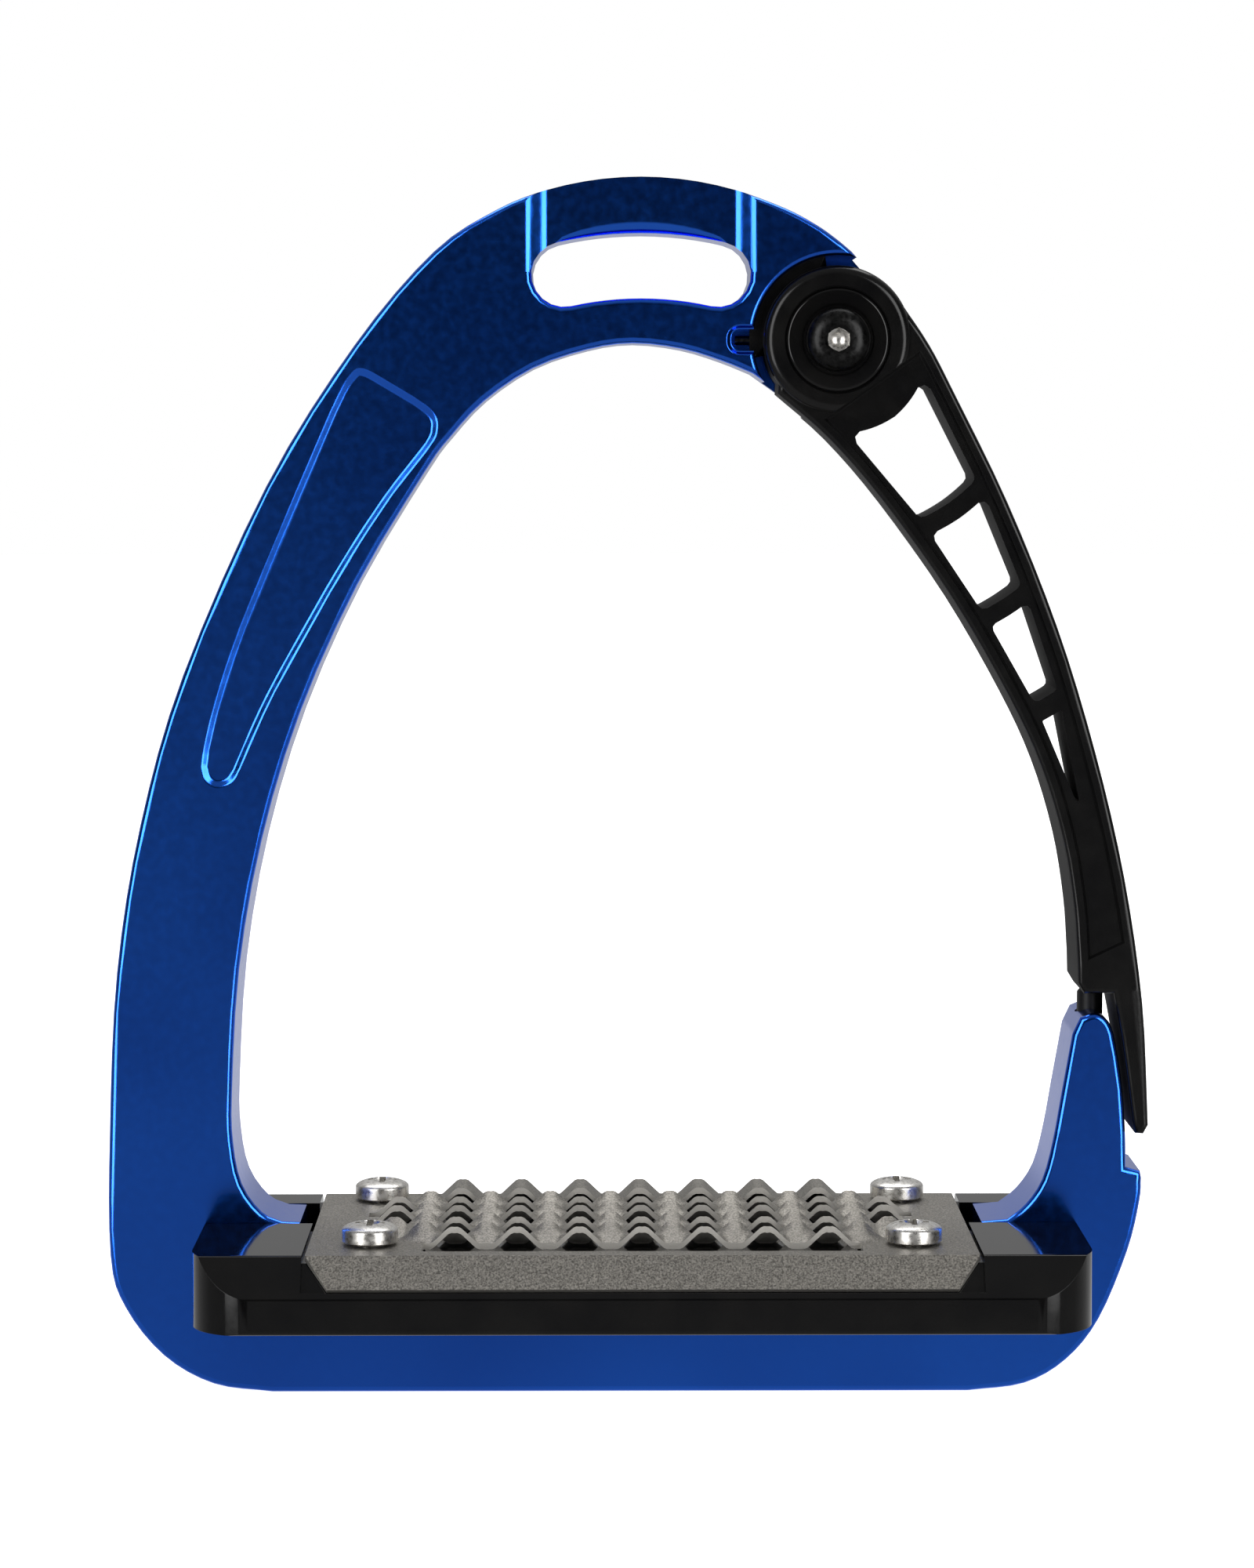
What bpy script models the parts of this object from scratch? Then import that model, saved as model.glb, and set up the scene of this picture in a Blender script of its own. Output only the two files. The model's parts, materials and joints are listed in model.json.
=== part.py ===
"""Safety stirrup iron: a flat light-alloy frame with a strap slot, a lattice arm hinged at the top of the open
side and held shut by a torsion spring, and a moulded tread that straddles the bottom bar under a lanced grip plate.

Millimetres in the constants, metres in the scene. X runs across the foot, Y from the front face to the back, Z up.
The origin lies on the underside of the bottom bar, below the middle of the strap slot, half way through the frame.
"""

import math

import bmesh
import bpy
from mathutils import Matrix, Vector
from mathutils.geometry import tessellate_polygon

MM = 0.001

# ---- overall sizes -------------------------------------------------------------------------------------------------
INNER_WIDTH = 120.0  # between the limbs at the tread, the size a stirrup is sold by
HEIGHT = 176.7  # underside of the bar to the top of the arch
FRAME_DEPTH = 15.0  # thickness of the frame, front face to back face
CROWN_RADIUS = 49.0  # top of the arch
CURVE_STEPS = 4
FRAME_EDGE = 0.9  # rounding along the edges of the frame
NOMINAL_WIDTH = 120.0
NOMINAL_HEIGHT = 176.7
SX = INNER_WIDTH / NOMINAL_WIDTH
SZ = HEIGHT / NOMINAL_HEIGHT
GAP = 0.3  # clearance between neighbouring pieces

# ---- hinge at the top of the arm -----------------------------------------------------------------------------------
HUB_X = 28.2 * SX
HUB_Z = 153.4 * SZ
HUB_RADIUS = 10.6
HUB_FRONT = -FRAME_DEPTH / 2 - 0.9  # front face of the hub, slightly proud of the frame
CHEEK_RADIUS = HUB_RADIUS + 0.4  # rear half of the lap joint, one piece with the frame
CHEEK_FRONT = FRAME_DEPTH * 0.23
HUB_POCKET_RADIUS = HUB_RADIUS + 1.5  # cut through the front half of the frame round the hub
HUB_BACK = CHEEK_FRONT - 1.1
HUB_EDGE = 0.7  # rounding of the hub and of the blade
ARM_EDGE = 1.0
SCREW_RADIUS = 2.5
BUSH_RADIUS = 3.9
BUSH_BORE = SCREW_RADIUS + GAP
CAP_RADIUS = 7.4
CAP_THICKNESS = 1.2
BUTTON_RADIUS = 4.6
BUTTON_HEIGHT = 2.3
BUTTON_CROWN = 1.12  # how full the curve of the button head is
HEX_KEY = 3.0  # across the flats of the key socket
SPRING_WIRE = 1.4
SPRING_RADIUS = 6.9  # centre line of the coil
SPRING_POCKET_IN = 5.4
SPRING_POCKET_OUT = 8.5
SPRING_TURNS = 3
SPRING_POCKET_DEPTH = 7.2
LEG_SLOT_HALF = 1.55  # slot in the frame that holds the spring's leg
LEG_SLOT_REACH = 15.9
LAP_RADIUS = CHEEK_RADIUS + 1.0  # relief behind the hub, where the rear cheek turns
NUT_POCKET = 2.6
PIVOT_NUT_FLATS = 8.0
ARM_SWING = 70.0  # how far the arm opens, degrees

# ---- strap slot ----------------------------------------------------------------------------------------------------
SLOT_WIDTH = 31.6
SLOT_HEIGHT = 9.3
SLOT_BEND = 51.0  # radius of the slot's centre line
SLOT_Z = 164.0 * SZ
STRAP_RECESS = 1.5  # how much the strap bar is set back from each face
STRAP_RECESS_WIDTH = 28.4
RECESS_RUN = 1.6  # width of the slope at each end of the recess
LEAF_DEPTH = 0.7  # sunk panel on the left limb

# ---- tread ---------------------------------------------------------------------------------------------------------
FOOT_TOP = 25.2 * SZ  # where the inner edge of the frame meets the tread
BAR_TOP = FOOT_TOP - 8.6  # bar under the tread, deep enough for the nuts
FOOT_REACH = 49.8 * SX  # the foot of each limb stops here
BASE_HALF = 63.6 * SX
BASE_FRONT = -35.5
BASE_BACK = 19.5
BASE_BOTTOM = FOOT_TOP - 10.6
BASE_CORNER = 8.5
TOP_FRONT = -31.4  # fold lines between the flat top and its bevels
TOP_BACK = 15.4
BEVEL_DROP = 5.4
CHANNEL_ROOF = BAR_TOP + GAP
PLATE_HALF = 47.4 * SX
SHEET = 0.9
PLATE_RECESS = SHEET + 0.3
FLANGE_REACH = 3.2  # outward run of the bent flanges
FLANGE_DROP = 4.2
FLANGE_TAPER = 3.2

# ---- teeth of the grip plate ---------------------------------------------------------------------------------------
TOOTH_PITCH = 8.9 * SX
TOOTH_HEIGHT = 2.4
TOOTH_COLUMNS = 7
TOOTH_STEPS = 8  # mesh columns in one pitch
RIBBONS = ((-22.6, -18.6), (-15.2, -11.2), (-6.4, -3.0), (0.4, 4.9), (7.2, 14.6))  # front and rear edge of each
WINDOW_FRONT = -28.4
WIDE_RIBBONS = (1, 2, 3)  # these carry one more tooth at each end

# ---- fasteners -----------------------------------------------------------------------------------------------------
TREAD_SCREW_X = 38.7 * SX
TREAD_SCREW_ROWS = (-23.0, 10.8)
PAN_RADIUS = 4.0
PAN_SIDE = 1.9
PAN_DOME = 1.0
M4_RADIUS = 2.0
NUT_FLATS = 7.0
NUT_HEIGHT = 3.2
BAR_SCREW_X = 29.0 * SX
BAR_HEAD_RADIUS = 4.6
BAR_HEAD_SIDE = 0.75  # straight part of the countersink, before its cone
STUD_X = 66.2 * SX
STUD_TOP = 58.6 * SZ
STUD_RADIUS = 1.9
STUD_DEPTH = 9.0


# ---- helpers -------------------------------------------------------------------------------------------------------
def material(name, colour, roughness, metallic, coat=0.0):
    made = bpy.data.materials.new(name)
    made.use_nodes = True
    shader = made.node_tree.nodes["Principled BSDF"]
    shader.inputs["Base Color"].default_value = (*colour, 1.0)
    shader.inputs["Roughness"].default_value = roughness
    shader.inputs["Metallic"].default_value = metallic
    shader.inputs["Coat Weight"].default_value = coat
    return made


def object_of(name, mesh, look, sharp_degrees=32.0):
    mesh.name = name
    made = bpy.data.objects.new(name, mesh)
    bpy.context.scene.collection.objects.link(made)
    if look is not None:
        mesh.materials.append(look)
    mesh.shade_smooth()
    mesh.set_sharp_from_angle(angle=math.radians(sharp_degrees))
    return made


def mesh_from(points, faces):
    """A mesh in metres from points in millimetres, its faces turned outwards."""
    mesh = bpy.data.meshes.new("mesh")
    mesh.from_pydata([Vector(p) * MM for p in points], [], faces)
    work = bmesh.new()
    work.from_mesh(mesh)
    bmesh.ops.recalc_face_normals(work, faces=work.faces)
    work.to_mesh(mesh)
    work.free()
    return mesh


def curve_through(points, steps):
    """A smooth open line through the points: Catmull-Rom, its ends running straight on."""
    ends = [
        tuple(2 * a - b for a, b in zip(points[0], points[1])),
        *points,
        tuple(2 * a - b for a, b in zip(points[-1], points[-2])),
    ]
    line = []
    for before, start, end, after in zip(ends, ends[1:], ends[2:], ends[3:]):
        for k in range(steps):
            t = k / steps
            line.append(
                tuple(
                    0.5 * (2 * b + (c - a) * t + (2 * a - 5 * b + 4 * c - d) * t**2 + (3 * b - a - 3 * c + d) * t**3)
                    for a, b, c, d in zip(before, start, end, after)
                )
            )
    line.append(tuple(points[-1]))
    return line


def arc(centre, radius, start, end, steps):
    """Points on a circle from one angle to another, in degrees."""
    line = []
    for k in range(steps + 1):
        angle = math.radians(start + (end - start) * k / steps)
        line.append((centre[0] + radius * math.cos(angle), centre[1] + radius * math.sin(angle)))
    return line


def circle(centre, radius, steps=32):
    return arc(centre, radius, 0, 360 - 360 / steps, steps - 1)


def rounded(corners, radius, steps=4):
    """A polygon with each of its corners replaced by an arc."""
    line = []
    count = len(corners)
    for i, corner in enumerate(corners):
        here = Vector(corner)
        back = (Vector(corners[i - 1]) - here).normalized()
        ahead = (Vector(corners[(i + 1) % count]) - here).normalized()
        half = back.angle(ahead) / 2
        middle = here + (back + ahead).normalized() * radius / math.sin(half)
        start = here + back * radius / math.tan(half) - middle
        end = here + ahead * radius / math.tan(half) - middle
        for k in range(steps + 1):
            line.append(tuple(middle + start.slerp(end, k / steps).normalized() * radius))
    return line


def area(loop):
    return sum(a[0] * b[1] - b[0] * a[1] for a, b in zip(loop, loop[1:] + loop[:1])) / 2


def inset(loop, distance):
    """The loop moved sideways to its left by a distance."""
    moved = []
    for a, b, c in zip(loop[-1:] + loop[:-1], loop, loop[1:] + loop[:1]):
        first = (Vector(b) - Vector(a)).normalized()
        second = (Vector(c) - Vector(b)).normalized()
        left, right = Vector((-first.y, first.x)), Vector((-second.y, second.x))
        moved.append(tuple(Vector(b) + (left + right) * distance / max(0.4, 1 + left.dot(right))))
    return moved


PLACE = {
    "X": lambda u, v, w: (w, u, v),
    "Y": lambda u, v, w: (u, w, v),
    "Z": lambda u, v, w: (u, v, w),
}


def slab(outer, holes, low, high, rim=0.0, axis="Y", steps=2):
    """A flat piece between two planes square to an axis, with rounded rims, holes going right through."""
    loops = [outer if area(outer) > 0 else outer[::-1]]
    loops += [hole if area(hole) < 0 else hole[::-1] for hole in holes]
    levels = [(0.0, low), (0.0, high)]
    if rim:
        turn = [math.pi / 2 * k / steps for k in range(steps + 1)]
        levels = [(rim * (1 - math.sin(a)), low + rim * (1 - math.cos(a))) for a in turn]
        levels += [(d, low + high - w) for d, w in reversed(levels)]
    rings = [[inset(loop, d) if d else loop for loop in loops] for d, _ in levels]
    flat = [len(loop) for loop in loops]
    count = sum(flat)
    points = [PLACE[axis](u, v, w) for ring, (_, w) in zip(rings, levels) for loop in ring for u, v in loop]
    faces = []
    for level in range(len(levels) - 1):
        start = level * count
        for size in flat:
            for i in range(size):
                j = (i + 1) % size
                faces.append((start + i, start + j, start + count + j, start + count + i))
            start += size
    cap = tessellate_polygon([[Vector((u, v, 0)) for u, v in loop] for loop in rings[0]])
    top = count * (len(levels) - 1)
    faces += [tuple(c) for c in cap]
    faces += [tuple(top + k for k in reversed(c)) for c in cap]
    return mesh_from(points, faces)


def lathe(profile, steps=32, axis="Y", centre=(0.0, 0.0)):
    """A turned piece: a closed profile of radius and height round an axis through the centre."""
    points, rows, faces = [], [], []
    for radius, height in profile:
        turns = 1 if radius < 1e-6 else steps
        rows.append((len(points), turns))
        for k in range(turns):
            angle = 2 * math.pi * k / steps
            u, v = centre[0] + radius * math.cos(angle), centre[1] + radius * math.sin(angle)
            points.append(PLACE[axis](u, v, height))
    for (a, many_a), (b, many_b) in zip(rows, rows[1:] + rows[:1]):
        if many_a == 1 and many_b == 1:
            continue
        for k in range(steps):
            n = (k + 1) % steps
            corners = [a + k % many_a, a + n % many_a, b + n % many_b, b + k % many_b]
            faces.append(tuple(dict.fromkeys(corners)))
    return mesh_from(points, faces)


def tube(path, radius, sides=8):
    """Round wire along a path, its ends flat."""
    points, faces = [], []
    normal = Vector((0, 1, 0))
    for i, here in enumerate(path):
        ahead, behind = path[min(i + 1, len(path) - 1)], path[max(i - 1, 0)]
        along = (ahead - behind).normalized()
        normal = (normal - along * normal.dot(along)).normalized()
        across = along.cross(normal)
        for k in range(sides):
            angle = 2 * math.pi * k / sides
            points.append(here + (normal * math.cos(angle) + across * math.sin(angle)) * radius)
    for i in range(len(path) - 1):
        for k in range(sides):
            n = (k + 1) % sides
            faces.append((i * sides + k, i * sides + n, (i + 1) * sides + n, (i + 1) * sides + k))
    faces.append(tuple(range(sides)))
    faces.append(tuple(range((len(path) - 1) * sides, len(path) * sides)))
    return mesh_from(points, faces)


def cut(target, meshes, operation="DIFFERENCE"):
    """Boolean the meshes with an object, one modifier each."""
    for mesh in meshes:
        tool = object_of(f"{target.name}_cutter", mesh, None)
        tool.hide_render = True
        tool.display_type = "WIRE"
        step = target.modifiers.new("cut", "BOOLEAN")
        step.operation = operation
        step.solver = "EXACT"
        step.object = tool


def hexagon(centre, flats, turn=0.0):
    return [
        (
            centre[0] + flats / math.sqrt(3) * math.cos(math.radians(60 * k + turn)),
            centre[1] + flats / math.sqrt(3) * math.sin(math.radians(60 * k + turn)),
        )
        for k in range(6)
    ]


def scaled(points):
    return [(x * SX, z * SZ) for x, z in points]


def clear_scene():
    for old in list(bpy.data.objects):
        bpy.data.objects.remove(old)


# ---- looks ---------------------------------------------------------------------------------------------------------
clear_scene()
BLUE = material("blue_lacquer", (0.012, 0.075, 0.32), 0.14, 0.85, 1.0)
BLACK_GLOSS = material("black_nylon_gloss", (0.008, 0.008, 0.009), 0.2, 0.0)
BLACK_SATIN = material("black_nylon_satin", (0.01, 0.01, 0.011), 0.42, 0.0)
STEEL_SATIN = material("steel_satin", (0.2, 0.19, 0.175), 0.5, 0.9)
STEEL_BRIGHT = material("steel_bright", (0.55, 0.54, 0.52), 0.28, 1.0)
SPRING_STEEL = material("steel_black", (0.02, 0.02, 0.02), 0.35, 0.8)
BRONZE = material("bronze", (0.45, 0.3, 0.14), 0.4, 1.0)

FRONT, BACK = -FRAME_DEPTH / 2, FRAME_DEPTH / 2
HUB = (HUB_X, HUB_Z)


# ---- frame ---------------------------------------------------------------------------------------------------------
def slot_outline(grow=0.0):
    """The strap slot: a band that follows an arc, with rounded ends."""
    half = SLOT_HEIGHT / 2 + grow
    centre = (0.0, SLOT_Z - SLOT_BEND)
    spread = math.degrees((SLOT_WIDTH / 2 - SLOT_HEIGHT / 2) / SLOT_BEND)
    right = arc(centre, SLOT_BEND, 90 - spread, 90 - spread, 1)[0]
    left = arc(centre, SLOT_BEND, 90 + spread, 90 + spread, 1)[0]
    return (
        arc(right, half, -90 - spread, 90 - spread, 10)
        + arc(centre, SLOT_BEND + half, 90 - spread, 90 + spread, 12)[1:-1]
        + arc(left, half, 90 + spread, 270 + spread, 10)
        + arc(centre, SLOT_BEND - half, 90 + spread, 90 - spread, 12)[1:-1]
    )


def frame_outline():
    crown = arc((0.0, 176.7 - CROWN_RADIUS), CROWN_RADIUS, 74, 106, 10)
    left_side = curve_through(
        scaled(
            [
                crown[-3], crown[-1], (-20.6, 172.0), (-29.7, 166.0), (-41.2, 152.6), (-54.0, 132.4),
                (-66.2, 105.2), (-72.6, 83.4), (-76.2, 62.0), (-77.5, 38.8), (-77.6, 20.3), (-75.5, 12.6),
                (-69.9, 5.4), (-62.6, 1.2), (-54.0, 0.0),
            ]
        ),
        CURVE_STEPS,
    )[CURVE_STEPS:]
    right_corner = curve_through(
        scaled([(48.0, 0.0), (56.3, 1.1), (62.4, 4.6), (67.2, 10.7), (71.3, 20.8), (73.0, 28.2), (73.2, 31.6)]), 4
    )
    lug_outside = curve_through(
        scaled([(70.9, 33.2), (70.8, 38.0), (70.3, 44.7), (69.2, 51.6), (68.2, 54.6), (66.2, 55.9), (64.0, 55.2)]), 3
    )
    lug_inside = curve_through(
        scaled([(62.9, 52.8), (61.3, 43.6), (60.2, 37.2), (58.7, 31.4), (56.3, 27.7), (53.6, 25.5)]), 3
    )
    foot_right = [(FOOT_REACH, FOOT_TOP), (FOOT_REACH - 0.3, BAR_TOP)]
    foot_left = [(-FOOT_REACH + 0.3, BAR_TOP), (-FOOT_REACH, FOOT_TOP)]
    inner = curve_through(
        scaled(
            [
                (-52.4, 25.3), (-55.4, 26.7), (-58.3, 30.9), (-59.5, 37.0), (-59.6, 44.4), (-58.4, 62.5),
                (-55.0, 81.2), (-49.3, 99.8), (-40.9, 118.3), (-31.1, 134.5), (-27.4, 139.5), (-22.6, 144.6),
                (-15.6, 149.3), (-7.7, 152.0), (-1.2, 152.9), (5.8, 152.1), (11.5, 150.4), (16.0, 148.6),
            ]
        ),
        3,
    )
    cheek = arc(HUB, CHEEK_RADIUS, -128, 68, 22)
    shoulder = curve_through(
        arc(HUB, CHEEK_RADIUS + 1.76, 81, 81, 1)[:1]
        + scaled([(27.9, 167.9), (25.0, 169.9), (20.6, 172.2), crown[0], crown[2]]),
        CURVE_STEPS,
    )[: -CURVE_STEPS - 1]
    corner = [(73.0 * SX, 32.6 * SZ)]
    return (
        scaled(crown[:-1]) + left_side + right_corner + corner + lug_outside + lug_inside
        + foot_right + foot_left + inner + cheek + shoulder
    )


def leaf_outline():
    """The sunk panel on the left limb: broad at the top, a long point at the bottom."""
    outer_edge = curve_through(
        scaled(
            [
                (-60.6, 91.2), (-62.3, 94.6), (-61.4, 100.5), (-57.6, 111.0), (-52.2, 123.4), (-46.8, 135.6),
                (-42.9, 144.6),
            ]
        ),
        3,
    )
    inner_edge = curve_through(
        scaled(
            [
                (-39.6, 147.7), (-36.0, 146.5), (-31.0, 143.4), (-31.0, 140.6), (-34.4, 134.4), (-41.4, 122.8),
                (-47.6, 110.6), (-53.2, 100.6), (-57.2, 94.0),
            ]
        ),
        3,
    )
    return outer_edge + inner_edge


frame = object_of("frame", slab(frame_outline(), [slot_outline()], FRONT, BACK, FRAME_EDGE), BLUE)
hub_clearance = slab(circle(HUB, HUB_POCKET_RADIUS, 48), [], FRONT - 2, CHEEK_FRONT)
strap_side = STRAP_RECESS_WIDTH / 2
recess_run = [
    (-strap_side - RECESS_RUN, 0.0), (-strap_side, STRAP_RECESS), (strap_side, STRAP_RECESS),
    (strap_side + RECESS_RUN, 0.0), (strap_side + RECESS_RUN, -3.0), (-strap_side - RECESS_RUN, -3.0),
]
recess_bottom = SLOT_Z - SLOT_HEIGHT * 0.1
front_recess = slab([(u, FRONT + v) for u, v in recess_run], [], recess_bottom, HEIGHT + 2, 0.0, "Z")
back_recess = slab([(u, BACK - v) for u, v in recess_run], [], recess_bottom, HEIGHT + 2, 0.0, "Z")
leg_y = HUB_BACK - SPRING_POCKET_DEPTH + SPRING_WIRE / 2 + GAP
leg_slot_corners = [
    (HUB_X - LEG_SLOT_REACH, HUB_Z - LEG_SLOT_HALF), (HUB_X - HUB_RADIUS, HUB_Z - LEG_SLOT_HALF),
    (HUB_X - HUB_RADIUS, HUB_Z + LEG_SLOT_HALF), (HUB_X - LEG_SLOT_REACH, HUB_Z + LEG_SLOT_HALF),
]
leg_slot = slab(rounded(leg_slot_corners, 0.8, 3), [], FRONT - 2, leg_y + SPRING_WIRE / 2 + GAP)
screw_bore = slab(circle(HUB, SCREW_RADIUS + GAP), [], 0, BACK + 2)
nut_pocket = slab(hexagon(HUB, PIVOT_NUT_FLATS + 2 * GAP), [], BACK - NUT_POCKET, BACK + 2)
bar_bore_profile = [
    (0, -1), (BAR_HEAD_RADIUS + GAP, -1), (BAR_HEAD_RADIUS + GAP, BAR_HEAD_SIDE),
    (SCREW_RADIUS + GAP, BAR_HEAD_SIDE + BAR_HEAD_RADIUS - SCREW_RADIUS), (SCREW_RADIUS + GAP, BAR_TOP + 1),
    (0, BAR_TOP + 1),
]
bar_bores = [lathe(bar_bore_profile, 24, "Z", (side * BAR_SCREW_X, 0.0)) for side in (-1, 1)]
stud_bore = slab(
    circle((STUD_X, 0.0), STUD_RADIUS + GAP, 20), [], STUD_TOP - STUD_DEPTH - GAP, STUD_TOP + 2, 0.0, "Z"
)
leaf_panel = slab(leaf_outline(), [], FRONT - 2, FRONT + LEAF_DEPTH)
cut(
    frame,
    [hub_clearance, front_recess, back_recess, leg_slot, screw_bore, nut_pocket, *bar_bores, stud_bore, leaf_panel],
)


# ---- safety arm ----------------------------------------------------------------------------------------------------
def arm_outline():
    """Blade, foot and tail; the blade runs into the hub along its tangent."""
    outer = curve_through(
        arc(HUB, HUB_RADIUS, 28, 28, 1)[:1]
        + scaled(
            [
                (41.4, 152.7), (45.0, 145.9), (52.8, 130.2), (60.2, 112.1), (65.9, 93.9), (70.3, 75.6), (73.1, 57.2),
                (74.1, 39.4),
            ]
        ),
        4,
    )
    tail = scaled([(73.4, 38.1), (72.2, 38.2)]) + curve_through(
        scaled([(71.8, 40.0), (71.1, 45.0), (70.1, 52.0), (68.8, 58.8)]), 2
    )
    foot = scaled([(64.5, 58.8), (63.6, 60.3)])
    inner = curve_through(
        scaled(
            [
                (63.5, 63.5), (62.9, 71.4), (61.2, 81.3), (57.9, 92.0), (53.1, 102.2), (45.0, 116.1), (35.1, 129.9),
                (27.1, 139.1),
            ]
        )
        + arc(HUB, HUB_RADIUS + 1.0, 222, 222, 1)[:1],
        4,
    )
    hub = arc(HUB, HUB_RADIUS, 216, 34, 26)
    return outer + tail + foot + inner + hub


def on_ring(side, radius):
    """Where a straight side of a window meets a circle round the hub, beyond its middle."""
    start, end = (Vector(p) for p in side)
    along = (end - start).normalized()
    foot = start + along * (Vector(HUB) - start).dot(along)
    off = (foot - Vector(HUB)).length
    return foot + along * math.sqrt(radius**2 - off**2)


def window_outline(near, far, left, right):
    """An opening between two straight sides and two arcs struck round the hub."""
    corners = [on_ring(left, near), on_ring(left, far), None, on_ring(right, far), on_ring(right, near), None]
    for k in (2, 5):
        middle = corners[k - 1] + (corners[(k + 1) % 6] - corners[k - 1]) / 2 - Vector(HUB)
        corners[k] = Vector(HUB) + middle.normalized() * (far if k == 2 else near)
    return corners


# Near arc, far arc, radius of the corners, then two points on each side of the opening.
WINDOWS = (
    (13.8, 28.4, 1.1, ((30.7, 139.0), (40.1, 127.9)), ((41.6, 146.5), (48.0, 134.0))),
    (31.1, 44.3, 1.0, ((41.8, 125.5), (49.2, 114.5)), ((49.8, 130.6), (54.9, 118.3))),
    (46.8, 59.7, 0.8, ((50.5, 112.4), (57.1, 100.9)), ((56.2, 115.1), (60.2, 103.4))),
    (62.5, 75.3, 0.2, ((58.2, 98.4), (63.1, 87.0)), ((61.0, 99.9), (63.6, 87.0))),
)
windows = []
for near, far, corner_radius, left, right in WINDOWS:
    grow = math.hypot(SX, SZ) / math.sqrt(2)
    shape = window_outline(near * grow, far * grow, scaled(left), scaled(right))
    windows.append(rounded(shape, corner_radius, 2))
safety_arm = object_of("safety_arm", slab(arm_outline(), windows, FRONT, BACK, ARM_EDGE), BLACK_GLOSS)
hub_disc = slab(circle(HUB, HUB_RADIUS, 48), [], HUB_FRONT, BACK - 1, HUB_EDGE)
pocket_floor = HUB_BACK - SPRING_POCKET_DEPTH
spring_pocket = slab(
    circle(HUB, SPRING_POCKET_OUT, 40), [circle(HUB, SPRING_POCKET_IN, 32)], pocket_floor, BACK + 3
)
notch_start = 180 - ARM_SWING - 12
notch = slab(
    arc(HUB, HUB_RADIUS + 2, notch_start, 192, 12) + arc(HUB, SPRING_POCKET_OUT - 0.8, 192, notch_start, 12),
    [], pocket_floor, leg_y + SPRING_WIRE / 2 + GAP,
)
seat_floor = HUB_FRONT + CAP_THICKNESS
cap_seat = lathe(
    [(0, HUB_FRONT - 1), (CAP_RADIUS + GAP, HUB_FRONT - 1), (CAP_RADIUS + GAP, seat_floor), (0, seat_floor)],
    40, "Y", HUB,
)
bush_bore = slab(circle(HUB, BUSH_RADIUS + GAP, 28), [], HUB_FRONT - 1, BACK + 3)
lap_relief = slab(circle(HUB, LAP_RADIUS, 48), [], HUB_BACK, BACK + 2)
cut(safety_arm, [hub_disc], "UNION")
cut(safety_arm, [lap_relief, spring_pocket, notch, cap_seat, bush_bore])


# ---- hinge pieces --------------------------------------------------------------------------------------------------
cap_front = HUB_FRONT - 0.1
cap_back = HUB_FRONT + CAP_THICKNESS - GAP
pivot_cap = object_of(
    "pivot_cap",
    lathe(
        [(SCREW_RADIUS + GAP, cap_front), (CAP_RADIUS - 0.5, cap_front), (CAP_RADIUS, cap_front + 0.4),
         (CAP_RADIUS, cap_back), (SCREW_RADIUS + GAP, cap_back)],
        40, "Y", HUB,
    ),
    BLACK_GLOSS,
)
head_back = cap_front - GAP
pivot_screw = object_of(
    "pivot_screw",
    lathe(
        [(0, head_back - BUTTON_HEIGHT), (BUTTON_RADIUS * 0.46, head_back - BUTTON_HEIGHT)]
        + [
            (
                BUTTON_RADIUS * math.sin(math.radians(a)),
                head_back - BUTTON_HEIGHT * BUTTON_CROWN * math.cos(math.radians(a)),
            )
            for a in (40, 58, 74)
        ]
        + [(BUTTON_RADIUS, head_back - 0.3), (BUTTON_RADIUS, head_back), (SCREW_RADIUS, head_back),
           (SCREW_RADIUS, BACK - 0.6), (SCREW_RADIUS - 0.4, BACK - 0.3), (0, BACK - 0.3)],
        32, "Y", HUB,
    ),
    SPRING_STEEL,
)
cut(pivot_screw, [slab(hexagon(HUB, HEX_KEY, 30), [], head_back - BUTTON_HEIGHT - 2, head_back - 0.5)])
bush_front = cap_back + GAP
pivot_bush = object_of(
    "pivot_bush",
    slab(circle(HUB, BUSH_RADIUS, 28), [circle(HUB, BUSH_BORE, 28)], bush_front, CHEEK_FRONT - GAP, 0.2, "Y", 1),
    BRONZE,
)
thrust_washer = object_of(
    "thrust_washer",
    slab(circle(HUB, HUB_RADIUS - 0.4, 36), [circle(HUB, BUSH_RADIUS + GAP, 28)], HUB_BACK + GAP, CHEEK_FRONT - GAP),
    STEEL_BRIGHT,
)
pivot_nut = object_of(
    "pivot_nut",
    slab(hexagon(HUB, PIVOT_NUT_FLATS), [circle(HUB, SCREW_RADIUS + GAP, 24)], BACK - 2.3, BACK - 0.1),
    STEEL_BRIGHT,
)

COIL_STEPS = 16
coil_pitch = (SPRING_POCKET_DEPTH - SPRING_WIRE - 2 * GAP - 0.8) / SPRING_TURNS
spring_path = [
    Vector((HUB_X - LEG_SLOT_REACH + SPRING_WIRE / 2 + 0.5, leg_y, HUB_Z)),
    Vector((HUB_X - SPRING_RADIUS - 2.0, leg_y, HUB_Z)),
    Vector((HUB_X - SPRING_RADIUS - 0.6, leg_y, HUB_Z + 0.25)),
]
for k in range(1, SPRING_TURNS * COIL_STEPS + 1):
    angle = math.pi - 2 * math.pi * k / COIL_STEPS
    x, z = HUB_X + SPRING_RADIUS * math.cos(angle), HUB_Z + SPRING_RADIUS * math.sin(angle)
    spring_path.append(Vector((x, leg_y + coil_pitch * k / COIL_STEPS, z)))
torsion_spring = object_of("torsion_spring", tube(spring_path, SPRING_WIRE / 2), SPRING_STEEL)

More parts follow.
